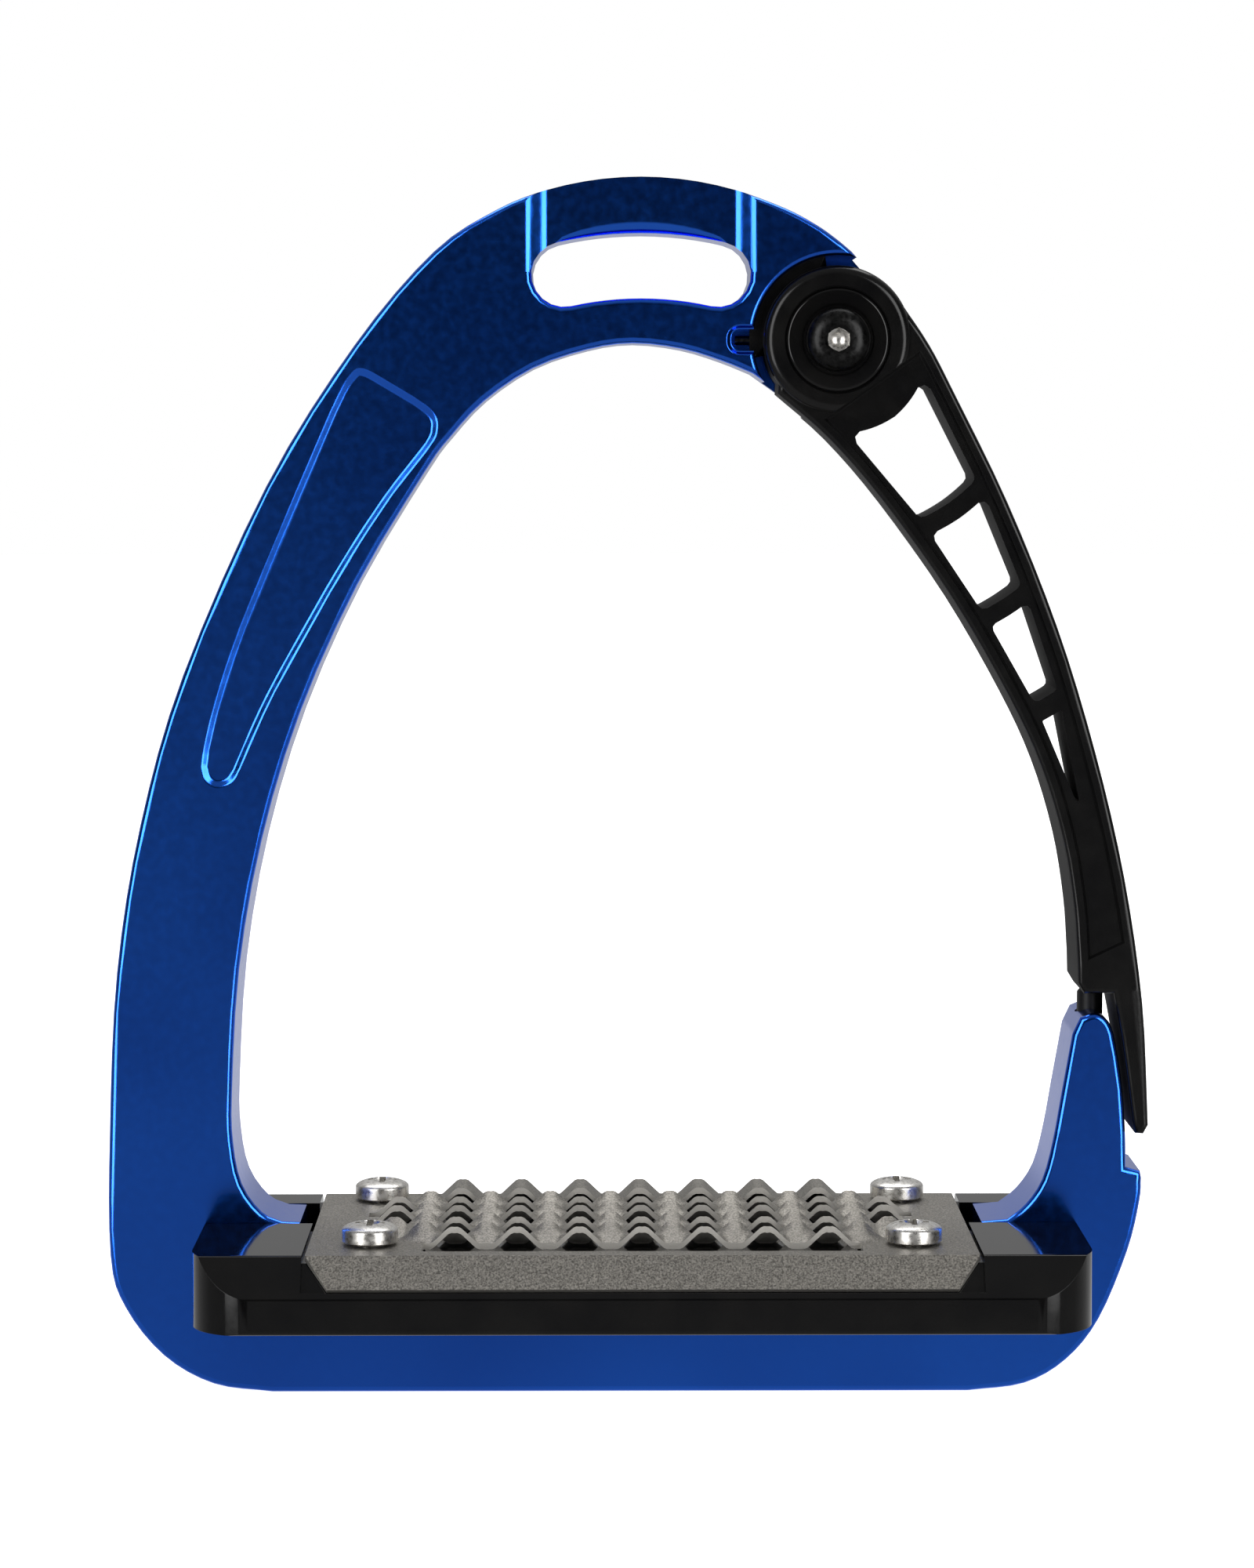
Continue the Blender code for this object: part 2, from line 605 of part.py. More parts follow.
latch_stud = object_of(
    "latch_stud",
    lathe(
        [(0, STUD_TOP - STUD_DEPTH), (STUD_RADIUS, STUD_TOP - STUD_DEPTH), (STUD_RADIUS, STUD_TOP - 0.4),
         (STUD_RADIUS - 0.4, STUD_TOP), (0, STUD_TOP)],
        20, "Z", (STUD_X, 0.0),
    ),
    BLACK_SATIN,
)


# ---- tread base ----------------------------------------------------------------------------------------------------
base_section = rounded(
    [
        (BASE_FRONT, BASE_BOTTOM), (BASE_BACK, BASE_BOTTOM), (BASE_BACK, FOOT_TOP - BEVEL_DROP), (TOP_BACK, FOOT_TOP),
        (TOP_FRONT, FOOT_TOP), (BASE_FRONT, FOOT_TOP - BEVEL_DROP),
    ],
    0.5,
    2,
)
base_plan = rounded(
    [(-BASE_HALF, BASE_FRONT), (BASE_HALF, BASE_FRONT), (BASE_HALF, BASE_BACK), (-BASE_HALF, BASE_BACK)],
    BASE_CORNER,
    8,
)
tread_base = object_of("tread_base", slab(base_section, [], -BASE_HALF - 1, BASE_HALF + 1, 0.0, "X"), BLACK_GLOSS)
cut(tread_base, [slab(base_plan, [], BASE_BOTTOM - 3, FOOT_TOP + 3, 0.0, "Z")], "INTERSECT")

channel = slab(
    [
        (-BASE_HALF - 3, BASE_BOTTOM - 3), (BASE_HALF + 3, BASE_BOTTOM - 3), (BASE_HALF + 3, FOOT_TOP + 3),
        (PLATE_HALF, FOOT_TOP + 3), (PLATE_HALF, CHANNEL_ROOF), (-PLATE_HALF, CHANNEL_ROOF),
        (-PLATE_HALF, FOOT_TOP + 3), (-BASE_HALF - 3, FOOT_TOP + 3),
    ],
    [], FRONT - GAP, BACK + GAP,
)
bevel = Vector((TOP_FRONT - BASE_FRONT, BEVEL_DROP)).normalized()
reach = math.hypot(FLANGE_REACH, FLANGE_DROP) + 0.5
sunk = PLATE_RECESS * math.tan(math.atan2(bevel.y, bevel.x) / 2)


def flange_recess(fold, way):
    """Corners of the recess on one bevel: its outer end, then the foot of its floor."""
    down = Vector((way * bevel.x, -bevel.y)) * reach
    inward = Vector((-way * bevel.y, -bevel.x)) * PLATE_RECESS
    corner = Vector((fold, FOOT_TOP))
    floor = (fold - way * sunk, FOOT_TOP - PLATE_RECESS)
    return tuple(corner + down - inward * 3), tuple(corner + down + inward), floor


front_out, front_in, front_floor = flange_recess(TOP_FRONT, -1)
back_out, back_in, back_floor = flange_recess(TOP_BACK, 1)
plate_recess = slab(
    [
        front_out, front_in, front_floor, back_floor, back_in, back_out, (TOP_BACK, FOOT_TOP + 4),
        (TOP_FRONT, FOOT_TOP + 4),
    ],
    [], -PLATE_HALF - 0.35, PLATE_HALF + 0.35, 0.0, "X",
)
NUT_ROOF = FOOT_TOP - PLATE_RECESS - 2.9
NUT_TOP = NUT_ROOF - GAP
TREAD_SCREWS = [(side * TREAD_SCREW_X, row) for row in TREAD_SCREW_ROWS for side in (-1, 1)]
base_cuts = [channel, plate_recess]
for at in TREAD_SCREWS:
    base_cuts.append(slab(circle(at, M4_RADIUS + GAP, 20), [], BASE_BOTTOM - 1, FOOT_TOP + 1, 0.0, "Z"))
    base_cuts.append(slab(hexagon(at, NUT_FLATS + 2 * GAP, 30), [], BASE_BOTTOM - 1, NUT_ROOF, 0.0, "Z"))
BAR_SCREW_TOP = FOOT_TOP - PLATE_RECESS - 1.6
for side in (-1, 1):
    at = (side * BAR_SCREW_X, 0.0)
    base_cuts.append(slab(circle(at, SCREW_RADIUS + GAP, 24), [], BASE_BOTTOM - 1, BAR_SCREW_TOP + GAP, 0.0, "Z"))
cut(tread_base, base_cuts)


# ---- grip plate ----------------------------------------------------------------------------------------------------
def tooth(x, offset):
    """Height of a row of arches at x: straight flanks, a rounded crown and a flat trough between neighbours."""
    phase = abs((x / TOOTH_PITCH - offset + 0.5) % 1.0 - 0.5)
    rise = min(1.0, max(0.0, (0.36 - phase) / 0.26))
    return TOOTH_HEIGHT * rise


def grip_plate_mesh():
    """A bent sheet cut into ribbons; each ribbon's front edge and rear edge are pressed up into staggered arches."""
    half_steps = int(TOOTH_STEPS * (TOOTH_COLUMNS + 2) / 2)
    xs = [TOOTH_PITCH * k / TOOTH_STEPS for k in range(-half_steps, half_steps + 1)]
    xs = [-PLATE_HALF, -PLATE_HALF + FLANGE_TAPER] + xs + [PLATE_HALF - FLANGE_TAPER, PLATE_HALF]
    ys = [TOP_FRONT - FLANGE_REACH, TOP_FRONT, WINDOW_FRONT]
    for pair in RIBBONS:
        ys += pair
    ys += [TOP_BACK, TOP_BACK + FLANGE_REACH]
    narrow = TOOTH_PITCH * TOOTH_COLUMNS / 2
    wide = narrow + TOOTH_PITCH
    last = len(RIBBONS) - 1

    def reach_of(ribbon):
        return wide if ribbon in WIDE_RIBBONS else narrow

    def height(x, row):
        ribbon, rear = (row - 3) // 2, (row - 3) % 2
        if row < 3 or ribbon > last or abs(x) > reach_of(ribbon) + 0.01:
            return 0.0
        if rear and ribbon < last:
            return tooth(x, 0.5) if abs(x) < narrow + 0.6 * TOOTH_PITCH else 0.0
        return tooth(x, 0.0)

    def open_cell(column, row):
        if row < 2 or row >= len(ys) - 3 or row % 2:
            return False
        ahead = (row - 2) // 2
        reaches = [reach_of(k) for k in (ahead - 1, ahead) if 0 <= k <= last]
        middle = (xs[column] + xs[column + 1]) / 2
        return abs(middle) < min(reaches) - 0.01

    upper, lower = [], []
    for row, y in enumerate(ys):
        flange = row in (0, len(ys) - 1)
        fold = row in (1, len(ys) - 2)
        way = -1 if row < 3 else 1
        for x in xs:
            at_x = x
            if flange and abs(x) > PLATE_HALF - FLANGE_TAPER - 0.01:
                corner = PLATE_HALF - FLANGE_TAPER
                at_x = math.copysign(corner if abs(x) > PLATE_HALF - 0.1 else corner - 0.8, x)
            z = FOOT_TOP - (FLANGE_DROP if flange else 0.0) + height(x, row)
            upper.append((at_x, y, z))
            if flange:
                lower.append((at_x, y - way * bevel.y * SHEET, z - bevel.x * SHEET))
            elif fold:
                lower.append((at_x, y - way * SHEET * math.tan(math.atan2(bevel.y, bevel.x) / 2), z - SHEET))
            else:
                lower.append((at_x, y, z - SHEET))
    wide_count, under = len(xs), len(upper)
    faces, rims = [], {}
    for row in range(len(ys) - 1):
        for column in range(wide_count - 1):
            if open_cell(column, row):
                continue
            a = row * wide_count + column
            ring = (a, a + 1, a + 1 + wide_count, a + wide_count)
            faces.append(ring)
            faces.append(tuple(under + k for k in reversed(ring)))
            for start, end in zip(ring, ring[1:] + ring[:1]):
                if (end, start) in rims:
                    del rims[(end, start)]
                else:
                    rims[(start, end)] = True
    for start, end in rims:
        faces.append((start, under + start, under + end, end))
    return mesh_from(upper + lower, faces)


grip_plate = object_of("grip_plate", grip_plate_mesh(), STEEL_SATIN)
screw_holes = [
    slab(circle(at, M4_RADIUS + GAP, 16), [], FOOT_TOP - 3, FOOT_TOP + 1, 0.0, "Z") for at in TREAD_SCREWS
]
cut(grip_plate, screw_holes)


# ---- fasteners -----------------------------------------------------------------------------------------------------
def cross(centre, half, arm, tip):
    """A plus sign with tapered arms: the recess in a pan head."""
    x, y = centre
    return [
        (x + a, y + b)
        for a, b in (
            (half, -tip), (half, tip), (arm, arm), (tip, half), (-tip, half), (-arm, arm),
            (-half, tip), (-half, -tip), (-arm, -arm), (-tip, -half), (tip, -half), (arm, -arm),
        )
    ]


SEAT = FOOT_TOP + GAP
NUT_BOTTOM = NUT_TOP - NUT_HEIGHT
for number, at in enumerate(TREAD_SCREWS, 1):
    dome = [
        (PAN_RADIUS * math.sin(math.radians(a)), SEAT + PAN_SIDE + PAN_DOME * math.cos(math.radians(a)))
        for a in (65, 45, 25)
    ]
    screw = object_of(
        f"tread_screw_{number}",
        lathe(
            [(0, NUT_BOTTOM - 1.2), (M4_RADIUS - 0.3, NUT_BOTTOM - 1.2), (M4_RADIUS, NUT_BOTTOM - 0.9),
             (M4_RADIUS, SEAT), (PAN_RADIUS, SEAT), (PAN_RADIUS, SEAT + PAN_SIDE)]
            + dome
            + [(0, SEAT + PAN_SIDE + PAN_DOME)],
            28, "Z", at,
        ),
        STEEL_BRIGHT,
    )
    cut(screw, [slab(cross(at, 2.0, 0.55, 0.4), [], SEAT + 1.3, SEAT + 5, 0.0, "Z")])
    object_of(
        f"tread_nut_{number}",
        slab(hexagon(at, NUT_FLATS, 30), [circle(at, M4_RADIUS + GAP, 20)], NUT_BOTTOM, NUT_TOP, 0.0, "Z"),
        STEEL_BRIGHT,
    )
for number, side in enumerate((-1, 1), 1):
    at = (side * BAR_SCREW_X, 0.0)
    sunk_head = GAP
    cone = BAR_HEAD_RADIUS - SCREW_RADIUS
    bar_screw = object_of(
        f"bar_screw_{number}",
        lathe(
            [(0, sunk_head), (BAR_HEAD_RADIUS, sunk_head), (BAR_HEAD_RADIUS, sunk_head + 0.3),
             (SCREW_RADIUS, sunk_head + 0.3 + cone), (SCREW_RADIUS, BAR_SCREW_TOP - 0.4),
             (SCREW_RADIUS - 0.4, BAR_SCREW_TOP), (0, BAR_SCREW_TOP)],
            24, "Z", at,
        ),
        STEEL_BRIGHT,
    )
    cut(bar_screw, [slab(hexagon(at, 3.0), [], sunk_head - 1, sunk_head + 2.0, 0.0, "Z")])

# The arm turns about the hub, so its origin lies there.
hub_point = Vector((HUB_X, 0.0, HUB_Z)) * MM
safety_arm.data.transform(Matrix.Translation(-hub_point))
safety_arm.location = hub_point
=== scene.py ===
# %% [markdown]
# # A safety stirrup iron
# This lesson dresses a working model of a stirrup iron. The frame is a flat alloy forging under clear
# blue lacquer. A black nylon arm hinges at the top of its open side, and a black tread straddles the
# bottom bar under a steel plate with pressed teeth. The working model fixes every size; here each piece
# gets rounded edges, a real finish and the light of a small studio.

# %% Load the fixed frame
import json
import math

import bmesh
import bpy
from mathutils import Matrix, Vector
from mathutils.geometry import tessellate_polygon

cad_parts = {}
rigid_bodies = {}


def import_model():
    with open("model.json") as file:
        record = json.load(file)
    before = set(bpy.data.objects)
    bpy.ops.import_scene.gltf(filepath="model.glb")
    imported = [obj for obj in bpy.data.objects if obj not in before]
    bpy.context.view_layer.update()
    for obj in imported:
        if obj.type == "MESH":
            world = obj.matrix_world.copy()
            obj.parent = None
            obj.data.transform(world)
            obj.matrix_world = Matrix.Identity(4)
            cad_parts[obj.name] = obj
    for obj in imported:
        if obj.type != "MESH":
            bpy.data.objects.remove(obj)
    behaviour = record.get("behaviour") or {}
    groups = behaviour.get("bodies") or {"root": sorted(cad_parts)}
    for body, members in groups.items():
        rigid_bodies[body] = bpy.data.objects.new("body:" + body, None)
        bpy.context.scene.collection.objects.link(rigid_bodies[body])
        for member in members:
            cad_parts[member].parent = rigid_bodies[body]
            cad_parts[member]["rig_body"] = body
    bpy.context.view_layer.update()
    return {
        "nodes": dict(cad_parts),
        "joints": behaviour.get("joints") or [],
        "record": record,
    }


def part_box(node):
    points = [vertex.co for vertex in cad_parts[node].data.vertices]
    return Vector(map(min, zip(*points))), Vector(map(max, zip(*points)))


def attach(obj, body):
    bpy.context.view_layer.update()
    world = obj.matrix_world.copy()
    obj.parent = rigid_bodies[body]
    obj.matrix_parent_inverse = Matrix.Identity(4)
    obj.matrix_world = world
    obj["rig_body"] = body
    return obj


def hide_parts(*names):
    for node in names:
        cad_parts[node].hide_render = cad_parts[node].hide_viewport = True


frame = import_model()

MM = 0.001
BODY = {node: item["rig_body"] for node, item in frame["nodes"].items()}
SLOT = {row["node"]: row["material_slot"] for row in frame["record"]["subparts"]}
print(len(BODY), "nodes on", sorted(set(BODY.values())))

# %% [markdown]
# ## Measures taken from the frame
# A maker measures the real thing before adding detail to it. The corners of each node's box give the
# faces that the detail starts from. They are kept in millimetres, because that is how a workshop thinks,
# and every mesh is turned into metres once, when it is made.

# %% Measure the nodes
def span(node, axis):
    low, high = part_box(node)
    return low[axis] / MM, high[axis] / MM


X, Y, Z = 0, 1, 2
FRONT, BACK = span("frame", Y)
HUB = (sum(span("pivot_cap", X)) / 2, sum(span("pivot_cap", Z)) / 2)
HUB_RADIUS = 10.6
HUB_FRONT = span("safety_arm", Y)[0]
TREAD_FRONT, TREAD_BACK = span("tread_base", Y)
TREAD_BOTTOM, TREAD_TOP = span("tread_base", Z)
TREAD_HALF = span("tread_base", X)[1]
PLATE_HALF = span("grip_plate", X)[1]
print("frame from", round(FRONT, 2), "to", round(BACK, 2), "mm, hub at", [round(v, 2) for v in HUB])

# %% [markdown]
# ## Meshes by hand
# A flat piece is an outline carried from one face to the other, its rim rounded by moving the outline
# inwards while the depth changes along a quarter circle. A turned piece is a profile spun round an axis.
# Both could be curve objects with a bevel, but a curve's bevel can't leave holes with their own rims, so
# the rings are joined by hand.

# %% Outlines
def area(loop):
    return sum(a[0] * b[1] - b[0] * a[1] for a, b in zip(loop, loop[1:] + loop[:1])) / 2


def inset(loop, distance):
    """The loop moved sideways to its left."""
    moved = []
    for a, b, c in zip(loop[-1:] + loop[:-1], loop, loop[1:] + loop[:1]):
        first = (Vector(b) - Vector(a)).normalized()
        second = (Vector(c) - Vector(b)).normalized()
        left, right = Vector((-first.y, first.x)), Vector((-second.y, second.x))
        moved.append(tuple(Vector(b) + (left + right) * distance / max(0.4, 1 + left.dot(right))))
    return moved


def arc(centre, radius, start, end, steps):
    turn = [math.radians(start + (end - start) * k / steps) for k in range(steps + 1)]
    return [(centre[0] + radius * math.cos(a), centre[1] + radius * math.sin(a)) for a in turn]


def circle(centre, radius, steps=64):
    return arc(centre, radius, 0, 360 - 360 / steps, steps - 1)


def hexagon(centre, flats, turn=0.0):
    return [tuple(p) for p in arc(centre, flats / math.sqrt(3), turn, turn + 300, 5)]


def rounded(corners, radius, steps=6):
    """A polygon with an arc at each corner."""
    line, count = [], len(corners)
    for i, corner in enumerate(corners):
        here = Vector(corner)
        back = (Vector(corners[i - 1]) - here).normalized()
        ahead = (Vector(corners[(i + 1) % count]) - here).normalized()
        half = back.angle(ahead) / 2
        middle = here + (back + ahead).normalized() * radius / math.sin(half)
        start = here + back * radius / math.tan(half) - middle
        end = here + ahead * radius / math.tan(half) - middle
        line += [tuple(middle + start.slerp(end, k / steps).normalized() * radius) for k in range(steps + 1)]
    return line


print("a circle of 64 points has area", round(area(circle((0, 0), 1)), 3))

# %% Solids
PLACE = {
    "X": lambda u, v, w: (w, u, v),
    "Y": lambda u, v, w: (u, w, v),
    "Z": lambda u, v, w: (u, v, w),
}


def mesh_from(points, faces):
    """A mesh in metres from points in millimetres, its faces turned outwards."""
    mesh = bpy.data.meshes.new("mesh")
    mesh.from_pydata([Vector(p) * MM for p in points], [], faces)
    work = bmesh.new()
    work.from_mesh(mesh)
    bmesh.ops.recalc_face_normals(work, faces=work.faces)
    work.to_mesh(mesh)
    work.free()
    return mesh


def slab(outer, holes, low, high, rim=0.0, axis="Y", steps=5):
    """A flat piece with holes through it and rounded rims."""
    loops = [outer if area(outer) > 0 else outer[::-1]]
    loops += [hole if area(hole) < 0 else hole[::-1] for hole in holes]
    levels = [(0.0, low), (0.0, high)]
    if rim:
        turn = [math.pi / 2 * k / steps for k in range(steps + 1)]
        levels = [(rim * (1 - math.sin(a)), low + rim * (1 - math.cos(a))) for a in turn]
        levels += [(d, low + high - w) for d, w in reversed(levels)]
    rings = [[inset(loop, d) if d else loop for loop in loops] for d, _ in levels]
    count = sum(len(loop) for loop in loops)
    points = [PLACE[axis](u, v, w) for ring, (_, w) in zip(rings, levels) for loop in ring for u, v in loop]
    faces = []
    for level in range(len(levels) - 1):
        start = level * count
        for loop in loops:
            for i in range(len(loop)):
                j = (i + 1) % len(loop)
                faces.append((start + i, start + j, start + count + j, start + count + i))
            start += len(loop)
    cap = [range(count)]
    if holes:
        cap = tessellate_polygon([[Vector((u, v, 0)) for u, v in loop] for loop in rings[0]])
    top = count * (len(levels) - 1)
    faces += [tuple(c) for c in cap]
    faces += [tuple(top + k for k in reversed(c)) for c in cap]
    return mesh_from(points, faces)


def lathe(profile, centre, axis="Y", steps=64):
    """A turned piece: a closed profile of radius and height."""
    points, rows, faces = [], [], []
    for radius, height in profile:
        turns = 1 if radius < 1e-6 else steps
        rows.append((len(points), turns))
        for k in range(turns):
            angle = 2 * math.pi * k / steps
            u, v = centre[0] + radius * math.cos(angle), centre[1] + radius * math.sin(angle)
            points.append(PLACE[axis](u, v, height))
    for (a, many_a), (b, many_b) in zip(rows, rows[1:] + rows[:1]):
        for k in range(steps if max(many_a, many_b) > 1 else 0):
            n = (k + 1) % steps
            corners = [a + k % many_a, a + n % many_a, b + n % many_b, b + k % many_b]
            faces.append(tuple(dict.fromkeys(corners)))
    return mesh_from(points, faces)


print("outline and turning helpers ready")

# %% [markdown]
# ## Pieces and cutters
# A piece takes the place of one node: it rides the same body, and the node is hidden. Holes and
# pockets are cut with the Boolean modifier, whose result is kept and whose cutter is thrown away. Soft
# shading would smear a flat face beside a narrow rim, so the normals are weighted by face area: flats stay
# flat and the rims catch the light.

# %% Piece helpers
def link(name, mesh):
    mesh.name = name
    made = bpy.data.objects.new(name, mesh)
    bpy.context.scene.collection.objects.link(made)
    return made


def settle(piece):
    """Keep what the modifiers make as the piece's own mesh."""
    graph = bpy.context.evaluated_depsgraph_get()
    graph.update()
    kept = bpy.data.meshes.new_from_object(piece.evaluated_get(graph))
    piece.modifiers.clear()
    piece.data = kept


def carve(piece, cutters, operation="DIFFERENCE"):
    """Cut with meshes, one after another."""
    for mesh in cutters:
        tool = link("tool", mesh)
        step = piece.modifiers.new("cut", "BOOLEAN")
        step.operation = operation
        step.solver = "EXACT"
        step.object = tool
        settle(piece)
        bpy.data.objects.remove(tool)


def clean(piece, within=0.002):
    """Join points that a cut left on top of each other, and drop lines across flat faces."""
    work = bmesh.new()
    work.from_mesh(piece.data)
    bmesh.ops.remove_doubles(work, verts=work.verts, dist=within * MM)
    bmesh.ops.dissolve_limit(work, angle_limit=math.radians(0.4), verts=work.verts, edges=work.edges)
    work.to_mesh(piece.data)
    work.free()


def ease_edges(piece, width, angle=30.0, segments=3):
    """Round the edges that a tool or a mould leaves slightly soft."""
    step = piece.modifiers.new("edges", "BEVEL")
    step.width = width * MM
    step.segments = segments
    step.limit_method = "ANGLE"
    step.angle_limit = math.radians(angle)
    step.use_clamp_overlap = True
    step.harden_normals = False
    settle(piece)


def dress(piece, node, finish, sharp=50.0):
    """Give the piece its finish, its shading and its body, and hide the node it stands for."""
    piece.data.materials.clear()
    piece.data.materials.append(finish)
    piece.data.shade_smooth()
    piece.data.set_sharp_from_angle(angle=math.radians(sharp))
    weigh = piece.modifiers.new("weighted", "WEIGHTED_NORMAL")
    weigh.keep_sharp = True
    weigh.weight = 80
    settle(piece)
    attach(piece, BODY[node])
    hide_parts(node)
    print(f"{piece.name}: {len(piece.data.polygons)} faces on {BODY[node]}")
    return piece


def copy_of(node, name):
    """The node's own shape as a new piece, its points joined so that it can be shaded smooth."""
    piece = link(name, frame["nodes"][node].data.copy())
    clean(piece)
    return piece


def section_loops(node, y):
    """The outlines in which a plane square to Y cuts a node, longest first, in millimetres."""
    work = bmesh.new()
    work.from_mesh(frame["nodes"][node].data)
    bmesh.ops.remove_doubles(work, verts=work.verts, dist=0.002 * MM)
    everything = work.verts[:] + work.edges[:] + work.faces[:]
    cut = bmesh.ops.bisect_plane(work, geom=everything, plane_co=(0, y * MM, 0), plane_no=(0, 1, 0))
    beside = {}
    for edge in [e for e in cut["geom_cut"] if isinstance(e, bmesh.types.BMEdge)]:
        for a, b in (edge.verts, reversed(edge.verts)):
            beside.setdefault(a, []).append(b)
    loops = []
    while beside:
        here = next(iter(beside))
        loop, before = [], None
        while here in beside:
            loop.append((here.co.x / MM, here.co.z / MM))
            ahead = [v for v in beside.pop(here) if v != before and v in beside]
            before = here
            here = ahead[0] if ahead else None
        loops.append(loop)
    work.free()
    loops = [thinned(loop) for loop in loops]
    return sorted(loops, key=lambda loop: -abs(area(loop)))


def centre_of(loop):
    return sum(p[0] for p in loop) / len(loop), sum(p[1] for p in loop) / len(loop)


def thinned(loop, least=0.05, straight=0.1):
    """The loop without points that are too close together, or in line with their neighbours."""
    kept = []
    for point in loop:
        if not kept or (Vector(point) - Vector(kept[-1])).length > least:
            kept.append(point)
    if (Vector(kept[0]) - Vector(kept[-1])).length < least:
        kept.pop()
    turns = []
    for a, b, c in zip(kept[-1:] + kept[:-1], kept, kept[1:] + kept[:1]):
        bend = (Vector(b) - Vector(a)).angle(Vector(c) - Vector(b), 0.0)
        if math.degrees(bend) > straight:
            turns.append(b)
    return turns


frame_sections = section_loops("frame", BACK - 2.4)
arm_sections = section_loops("safety_arm", FRONT + 2.3)
print("frame section:", [len(loop) for loop in frame_sections], "points")
print("arm section:", [len(loop) for loop in arm_sections], "points")

# %% [markdown]
# ## Finishes
# Each finish is one Principled shader. Its plain numbers sit on the shader itself, and what varies over
# the surface - colour, roughness, fine relief - comes from noise read in the object's own space, so that
# the grain keeps its size on every piece and needs no unwrapping.

# %% Finish helpers
def finish(name, roughness, metallic=0.0):
    """A new material, with its shader ready for the numbers that are the same all over."""
    made = bpy.data.materials.new(name)
    made.use_nodes = True
    shader = made.node_tree.nodes["Principled BSDF"]
    shader.inputs["Roughness"].default_value = roughness
    shader.inputs["Metallic"].default_value = metallic
    return made, made.node_tree, shader


def grain(tree, scale, detail=2.0, stretch=(1, 1, 1)):
    """Noise in the object's own space; the scale is in spots a metre."""
    place = tree.nodes.new("ShaderNodeTexCoord")
    sized = tree.nodes.new("ShaderNodeMapping")
    sized.inputs["Scale"].default_value = stretch
    noise = tree.nodes.new("ShaderNodeTexNoise")
    noise.inputs["Scale"].default_value = scale
    noise.inputs["Detail"].default_value = detail
    tree.links.new(place.outputs["Object"], sized.inputs["Vector"])
    tree.links.new(sized.outputs["Vector"], noise.inputs["Vector"])
    return noise.outputs["Fac"]


def ramp(tree, factor, stops):
    made = tree.nodes.new("ShaderNodeValToRGB")
    for k, (place, colour) in enumerate(stops):
        element = made.color_ramp.elements[k] if k < 2 else made.color_ramp.elements.new(place)
        element.position = place
        element.color = (*colour, 1.0)
    tree.links.new(factor, made.inputs["Fac"])
    return made.outputs["Color"]


def between(tree, factor, low, high, start=0.3, end=0.7):
    made = tree.nodes.new("ShaderNodeMapRange")
    made.inputs["From Min"].default_value = start
    made.inputs["From Max"].default_value = end
    made.inputs["To Min"].default_value = low
    made.inputs["To Max"].default_value = high
    tree.links.new(factor, made.inputs["Value"])
    return made.outputs["Result"]


def relief(tree, shader, height, strength, depth):
    """Fine ups and downs, their depth in millimetres."""
    made = tree.nodes.new("ShaderNodeBump")
    made.inputs["Strength"].default_value = strength
    made.inputs["Distance"].default_value = depth * MM
    tree.links.new(height, made.inputs["Height"])
    tree.links.new(made.outputs["Normal"], shader.inputs["Normal"])


def sums(tree, kind, a, b):
    made = tree.nodes.new("ShaderNodeMath")
    made.operation = kind
    for socket, value in zip(made.inputs, (a, b)):
        if isinstance(value, (int, float)):
            socket.default_value = value
        else:
            tree.links.new(value, socket)
    return made.outputs["Value"]


print("finish helpers ready")

# %% [markdown]
# ### Blue lacquer
# The alloy is polished, then covered with clear lacquer dyed blue. Light passes the lacquer twice, so the
# metal's own reflection comes back deep blue, while the surface of the lacquer adds a sharp white one.
# A metallic base under a coat does just that. Cloudy noise shifts the blue a little, as the thickness of
# the lacquer does, and a fine grain breaks up the polish below.

# %% Lacquer
def blue_lacquer():
    made, tree, shader = finish("blue_lacquer", 0.3, 1.0)
    cloud = grain(tree, 28.0, 1.0)
    tree.links.new(ramp(tree, cloud, LACQUER_BLUES), shader.inputs["Base Color"])
    polish = grain(tree, 900.0, 3.0)
    tree.links.new(between(tree, polish, 0.15, 0.21), shader.inputs["Roughness"])
    relief(tree, shader, grain(tree, 2200.0, 2.0), 0.08, 0.02)
    shader.inputs["Coat Weight"].default_value = 0.4
    shader.inputs["Coat Roughness"].default_value = 0.035
    shader.inputs["Coat IOR"].default_value = 1.45
    return made


LACQUER_BLUES = [(0.3, (0.014, 0.13, 0.78)), (0.7, (0.02, 0.18, 1.0))]
BLUE = blue_lacquer()
print(BLUE.name, "has", len(BLUE.node_tree.nodes), "nodes")

# %% [markdown]
# ### Black nylon
# The tread comes out of a polished mould and reflects like dark glass; the arm's mould is a little duller,
# with fine flow marks, matt walls where the mould is drawn off, and a rough patch by its tail for the
# thumb. One function makes both; the walls are masked by the way they face and the patch by its place.

